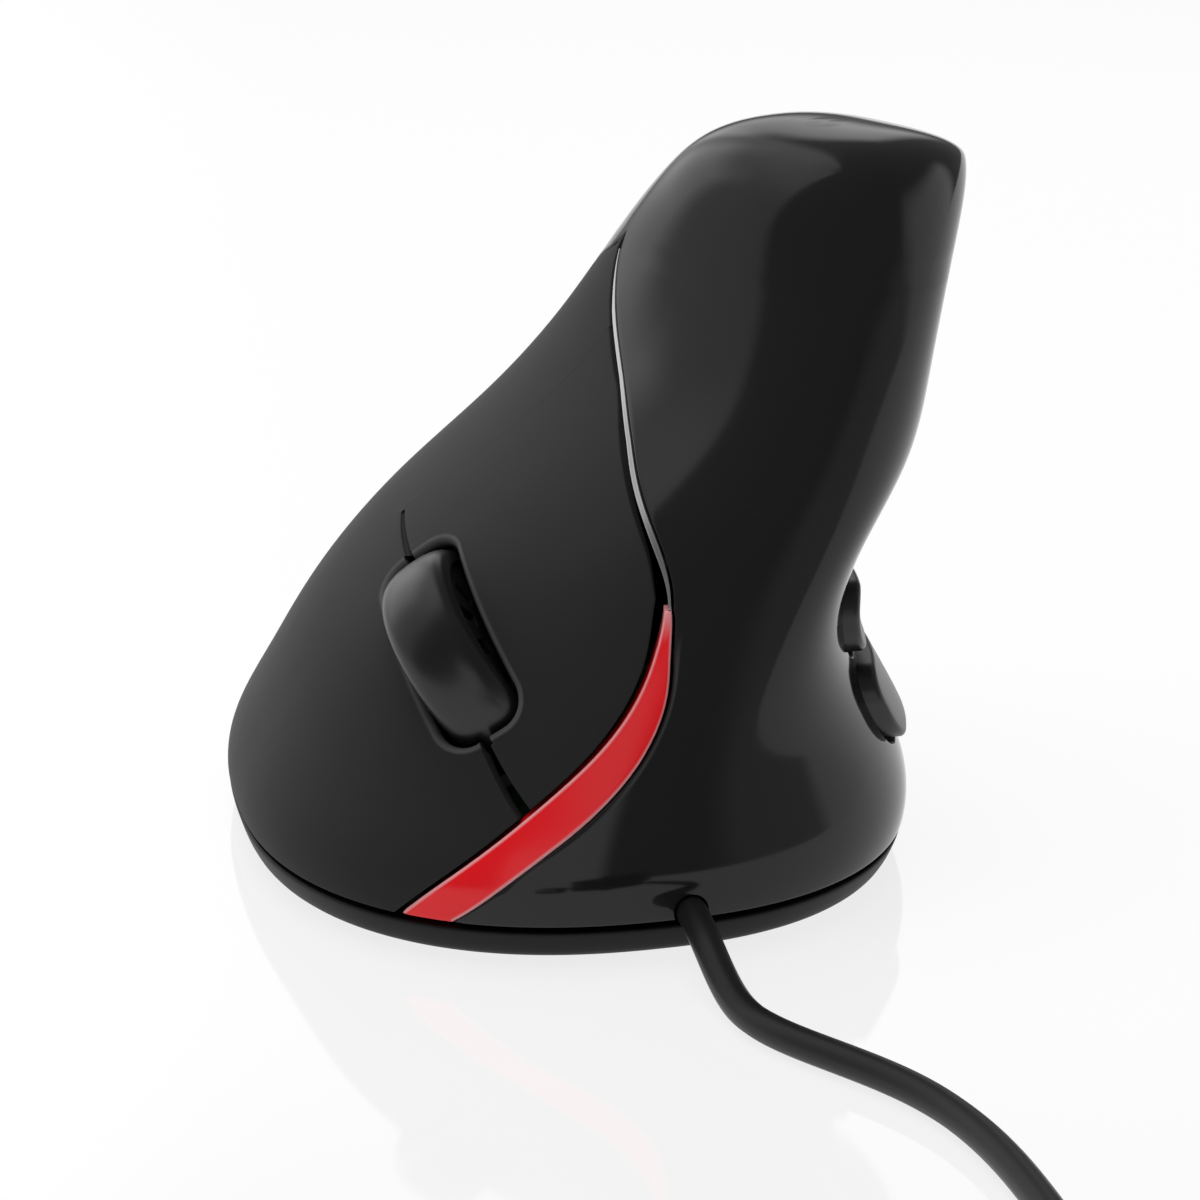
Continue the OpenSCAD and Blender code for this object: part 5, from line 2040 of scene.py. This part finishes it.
    def grip_body(self) -> bpy.types.Object:
        """Make the moulded grip: a neck that swells to a shoulder, and a body with rounded ends.

        Returns:
            The new object.
        """
        stand = self.plug_stand()
        width, length, thick = self.grip
        neck, edge = self.neck_d, self.grip_edge
        swell, start = self.neck_swell, self.shoulder_start
        wide, high = self.shoulder
        sections = [
            (0.0, neck, neck, neck / self.neck_rounds[0]),
            (self.neck * swell[0], neck * swell[1], neck * swell[2], neck / self.neck_rounds[1]),
            (self.neck * start[0], wide * start[1], high * start[2], self.grip_round),
            (self.neck, wide, high, self.grip_round),
        ]
        ends = [(self.neck + edge * (1 - c), edge * (1 - s)) for c, s in arc(self.edge_steps)]
        ends += [(length - edge * (1 - s), edge * (1 - c)) for c, s in arc(self.edge_steps)]
        for level, inset in ends:
            sections.append((level, width - 2 * inset, thick - 2 * inset, self.grip_round))
        rings = []
        for level, across, up, radius in sections:
            outline = corner_outline(across, up, radius, self.grip_corner_steps)
            rings.append(stand.world(np.insert(outline[:, :2], 2, level, axis=1)))
        made = loft("plug_body", rings)
        shade(made, self.grip_crease)
        return made

    def ribs(self) -> bpy.types.Object:
        """Set raised ribs across both faces of the grip.

        Returns:
            The new object.
        """
        width, _, thick = self.grip
        stand = Stand(np.zeros(3), Y, Z, X)
        half = width / 2 - self.rib_inset
        shape = stand.prism("rib", bar_outline(*self.rib), -half, half)
        round_edges(shape, self.rib_edge)
        points = [
            self.plug_start + (0, -self.neck - self.rib_start - self.rib_pitch * k, side * thick / 2)
            for side in (-1, 1)
            for k in range(self.ribs_a_face)
        ]
        return REPEATER.set_at("plug_ribs", points, shape, FINISHES[Slot.CORD].material())

    def metal_sleeve(self) -> bpy.types.Object:
        """Make the plug's metal sleeve, with the two latch windows on each broad face.

        Returns:
            The new object.
        """
        stand = self.plug_stand()
        width, length, thick = self.metal
        start = self.grip[1] - self.metal_hold
        end = self.grip[1] + length
        outside, inside = (
            bar_outline(width - 2 * inset, thick - 2 * inset, radius, self.metal_corner_steps)
            for inset, radius in zip((0, self.metal_t), self.metal_rounds)
        )
        made = stand.prism("plug_sleeve", outside, start, end)
        cutters = [stand.prism("sleeve_inside", inside, start + self.metal_back, end + CUT_PAST)]
        upward = Stand(stand.origin, stand.along, stand.out, np.cross(stand.along, stand.out))
        latch = bar_outline(*self.latch)
        for side in (-1, 1):
            window = latch + (side * self.latch_aside, end - self.latch_back, 0, 0)
            cutters.append(upward.prism("latch", window, -thick, thick))
        cut(made, cutters)
        shade(made)
        return made

    def contacts(self) -> bpy.types.Object:
        """Set the four gold contacts on the tongue.

        Returns:
            The new object.
        """
        stand = Stand(np.zeros(3), X, Y, Z)
        low = self.plug_start[2] + self.metal[2] / 2 - self.metal_t - self.tongue_t
        y = self.plug_start[1] - self.grip[1] - self.metal[1] + self.tongue_short + self.contact_back
        shape = stand.prism("contact", bar_outline(*self.contact), *self.contact_levels)
        gold = Finish(
            Slot.PLUG_METAL, CONTACT_GOLD, 0.22, metallic=1.0, smudge=0.08, label="gold"
        ).material()
        points = [(self.plug_start[0] + x, y, low) for x in self.contact_aside]
        return REPEATER.set_at("plug_contacts", points, shape, gold)

    def build(self) -> None:
        """Make the cord, its root inside the body, the strap and the plug."""
        self.cord = self.add(
            self.tube("cord", self.route()), Body.HOUSING, Slot.CORD, "cord_lead", "cord_coil", "cord_tail"
        )
        root = self.tube("cord_root", along(self.root, np.linspace(0, 1, self.root_steps + 1)))
        self.add(settle_curve(root), Body.HOUSING, Slot.CORD)
        self.add(self.strap(), Body.HOUSING, Slot.CORD, "cord_tie")
        self.add(self.grip_body(), Body.HOUSING, Slot.CORD, "plug_grip")
        self.add(self.ribs(), Body.HOUSING, Slot.CORD)
        self.add(self.metal_sleeve(), Body.HOUSING, Slot.PLUG_METAL, "plug_shell")
        self.add(self.contacts(), Body.HOUSING, Slot.PLUG_METAL)

    def dress(self) -> None:
        super().dress()
        route = self.route() * MM
        on_cord = [piece.obj for piece in self.pieces if piece.obj.name.startswith(("coil_", "plug_"))]


@dataclass
class Inside(SubAssembly):
    """The frame's own nodes that stay in view, most of them inside the body."""

    def build(self) -> None:
        """Nothing is made: these nodes keep their shapes."""

    def dress(self) -> None:
        """Give every node of the frame the finish of its slot."""
        for row in frame["record"]["subparts"]:
            obj = frame["nodes"][row["node"]]
            finish = FINISHES[Slot(row["material_slot"])].material()
            obj.data.materials.clear()
            obj.data.materials.append(finish)
            LOG.info("%s keeps its shape, finished as %s", row["node"], row["material_slot"])


# Studio

WHITE = (1, 1, 1, 1)


@dataclass(frozen=True)
class Glow:
    """A soft bright field of the surroundings, by azimuth from +Y towards +X, and elevation."""

    azimuth: tuple[float, float]
    elevation: tuple[float, float]
    soft: float
    strength: float


@dataclass
class Studio:
    """Floor, surroundings, lamp and the camera at the photograph's angle."""

    eye: Triple = (97.2, 391.5, 170.3)
    target: Triple = (1.1, 6.2, 33.6)
    target_pixel: tuple[float, float] = (595.0, 536.5)
    frame_pixels: float = 1200.0
    focal_pixels: float = 3780.0
    sensor: float = 36.0
    clip: tuple[float, float] = (0.01, 50.0)
    floor_size: float = 6.0
    floor_tints: tuple[Colour, Colour] = ((0.86, 0.86, 0.865), (0.88, 0.88, 0.885))
    floor_grain: float = 3.0
    whitening: float = 0.9
    mirror: float = 0.10
    mirror_rough: float = 0.06
    lamp_size: float = 0.9
    lamp_power: float = 9.0
    lamp_place: Triple = (0.18, -0.10, 1.0)
    lamp_aim: Triple = (0, 0, 0.03)
    dim: float = 0.16
    glows: tuple[Glow, ...] = (
        Glow((84, 185), (0, 84), 5.0, 0.50),
        Glow((84, 185), (50, 84), 14.0, 0.35),
        Glow((126, 172), (6, 40), 8.0, 0.90),
        Glow((0, 32), (-6, 24), 3.0, 0.80),
        Glow((-112, -72), (-14, 24), 6.0, 0.75),
        Glow((-72, -28), (-6, 16), 8.0, 0.25),
        Glow((180, 208), (8, 30), 5.0, 0.80),
    )

    def camera(self) -> None:
        """Set the camera so that the target falls on its pixel."""
        eye, target = Vector(self.eye) * MM, Vector(self.target) * MM
        ahead = (target - eye).normalized()
        right = ahead.cross(Vector(Z)).normalized()
        up = right.cross(ahead)
        half = self.frame_pixels / 2
        aside, above = self.target_pixel[0] - half, half - self.target_pixel[1]
        forward = (self.focal_pixels * ahead - aside * right - above * up).normalized()
        lens = bpy.data.cameras.new("camera")
        lens.sensor_width = self.sensor
        lens.lens = self.focal_pixels / self.frame_pixels * self.sensor
        lens.clip_start, lens.clip_end = self.clip
        made = placed("camera", lens)
        self.aim(made, eye, forward)
        bpy.context.scene.camera = made

    @staticmethod
    def aim(obj: bpy.types.Object, place: Vector, way: Vector) -> None:
        """Put a camera or a lamp at a place, and point it.

        Args:
            obj: The camera or the lamp.
            place: Where it goes, in metres.
            way: Where it points.
        """
        obj.location = place
        obj.rotation_mode = "QUATERNION"
        obj.rotation_quaternion = way.to_track_quat("-Z", "Y")

    @staticmethod
    def seen(graph: NodeGraph) -> Field:
        """1 where a ray comes from the camera, a mirror or glass, and 0 for light that spreads."""
        rays = [
            graph.node("ShaderNodeLightPath", output=name)
            for name in ("Is Camera Ray", "Is Glossy Ray", "Is Transmission Ray")
        ]
        return rays[0].at_least(rays[1]).at_least(rays[2])

    def floor(self) -> None:
        """Lay the pale floor, which shows white and keeps the shadow and a faint reflection."""
        half = self.floor_size / 2 / MM
        corners = np.array([(-half, -half, 0), (half, -half, 0), (half, half, 0), (-half, half, 0)])
        made = solid("floor", corners, [(0, 1, 2, 3)])
        paint = bpy.data.materials.new("pale_floor")
        graph = blank_graph(paint)
        tint = graph.blend(graph.noise(self.floor_grain), *self.floor_tints)
        matt = graph.node("ShaderNodeBsdfDiffuse", inputs={"Color": tint})
        white = graph.node("ShaderNodeEmission", inputs={"Color": WHITE, "Strength": 1.0})
        share = self.whitening * self.seen(graph)
        pale = graph.node("ShaderNodeMixShader", inputs={0: share, 1: matt, 2: white})
        gloss = {"Color": WHITE, "Roughness": self.mirror_rough}
        polish = graph.node("ShaderNodeBsdfGlossy", inputs=gloss)
        camera = graph.node("ShaderNodeLightPath", output="Is Camera Ray")
        both = graph.node("ShaderNodeMixShader", inputs={0: self.mirror * camera, 1: pale, 2: polish})
        graph.node("ShaderNodeOutputMaterial", inputs={"Surface": both})
        made.data.materials.append(paint)

    def surroundings(self) -> None:
        """Make the surroundings: dim in front, with soft bright fields at the sides and behind."""
        world = bpy.data.worlds.new("studio")
        graph = blank_graph(world)
        ahead = graph.node("ShaderNodeTexCoord", output="Generated")
        x, y, z = (graph.node("ShaderNodeSeparateXYZ", inputs={0: ahead}, output=k) for k in range(3))
        elevation = graph.node("ShaderNodeMath", {"operation": "ARCSINE"}, {0: z}) * DEGREES
        light: Field | float = self.dim
        for glow in self.glows:
            middle = math.radians(sum(glow.azimuth) / 2)
            reach = (glow.azimuth[1] - glow.azimuth[0]) / 2
            side = x * math.cos(middle) - y * math.sin(middle)
            front = x * math.sin(middle) + y * math.cos(middle)
            aside = graph.node("ShaderNodeMath", {"operation": "ARCTAN2"}, {0: side, 1: front})
            mask = self.between(aside * DEGREES, (-reach, reach), glow.soft)
            light = light + glow.strength * mask * self.between(elevation, glow.elevation, glow.soft)
        camera = graph.node("ShaderNodeLightPath", output="Is Camera Ray")
        strength = light + camera * (1 - light)
        back = graph.node("ShaderNodeBackground", inputs={"Color": WHITE, "Strength": strength})
        graph.node("ShaderNodeOutputWorld", inputs={"Surface": back})
        bpy.context.scene.world = world

    @staticmethod
    def between(value: Field, limits: tuple[float, float], soft: float) -> Field:
        """1 between two limits and 0 outside them, with edges that are soft to both sides."""
        low, high = limits
        return value.ramp(low - soft, low + soft) * (1 - value.ramp(high - soft, high + soft))

    def lamp(self) -> None:
        """Hang one broad soft lamp overhead, which mirrors don't show."""
        light = bpy.data.lights.new("overhead", "AREA")
        light.shape = "RECTANGLE"
        light.size, light.size_y = self.lamp_size, self.lamp_size
        light.energy = self.lamp_power
        made = placed("overhead", light)
        place = Vector(self.lamp_place)
        self.aim(made, place, Vector(self.lamp_aim) - place)
        made.visible_glossy = False

    def build(self) -> None:
        """Set the camera, the floor and the light."""
        self.camera()
        self.floor()
        self.surroundings()
        self.lamp()
        bpy.context.scene.view_settings.view_transform = "Standard"


def main() -> None:
    """Build and dress the mouse in its studio."""
    logging.basicConfig(level=logging.INFO, format="%(name)s: %(message)s")
    Studio().build()
    keys, wheel = ThumbKeys(), ScrollWheel()
    shells = Shells(keys=keys, wheel=wheel)
    assemblies = [Inside(), CordSet(), shells, wheel, keys, Base(shells=shells)]
    for assembly in assemblies:
        assembly.build()
        assembly.dress()


if __name__ == "__main__":
    main()
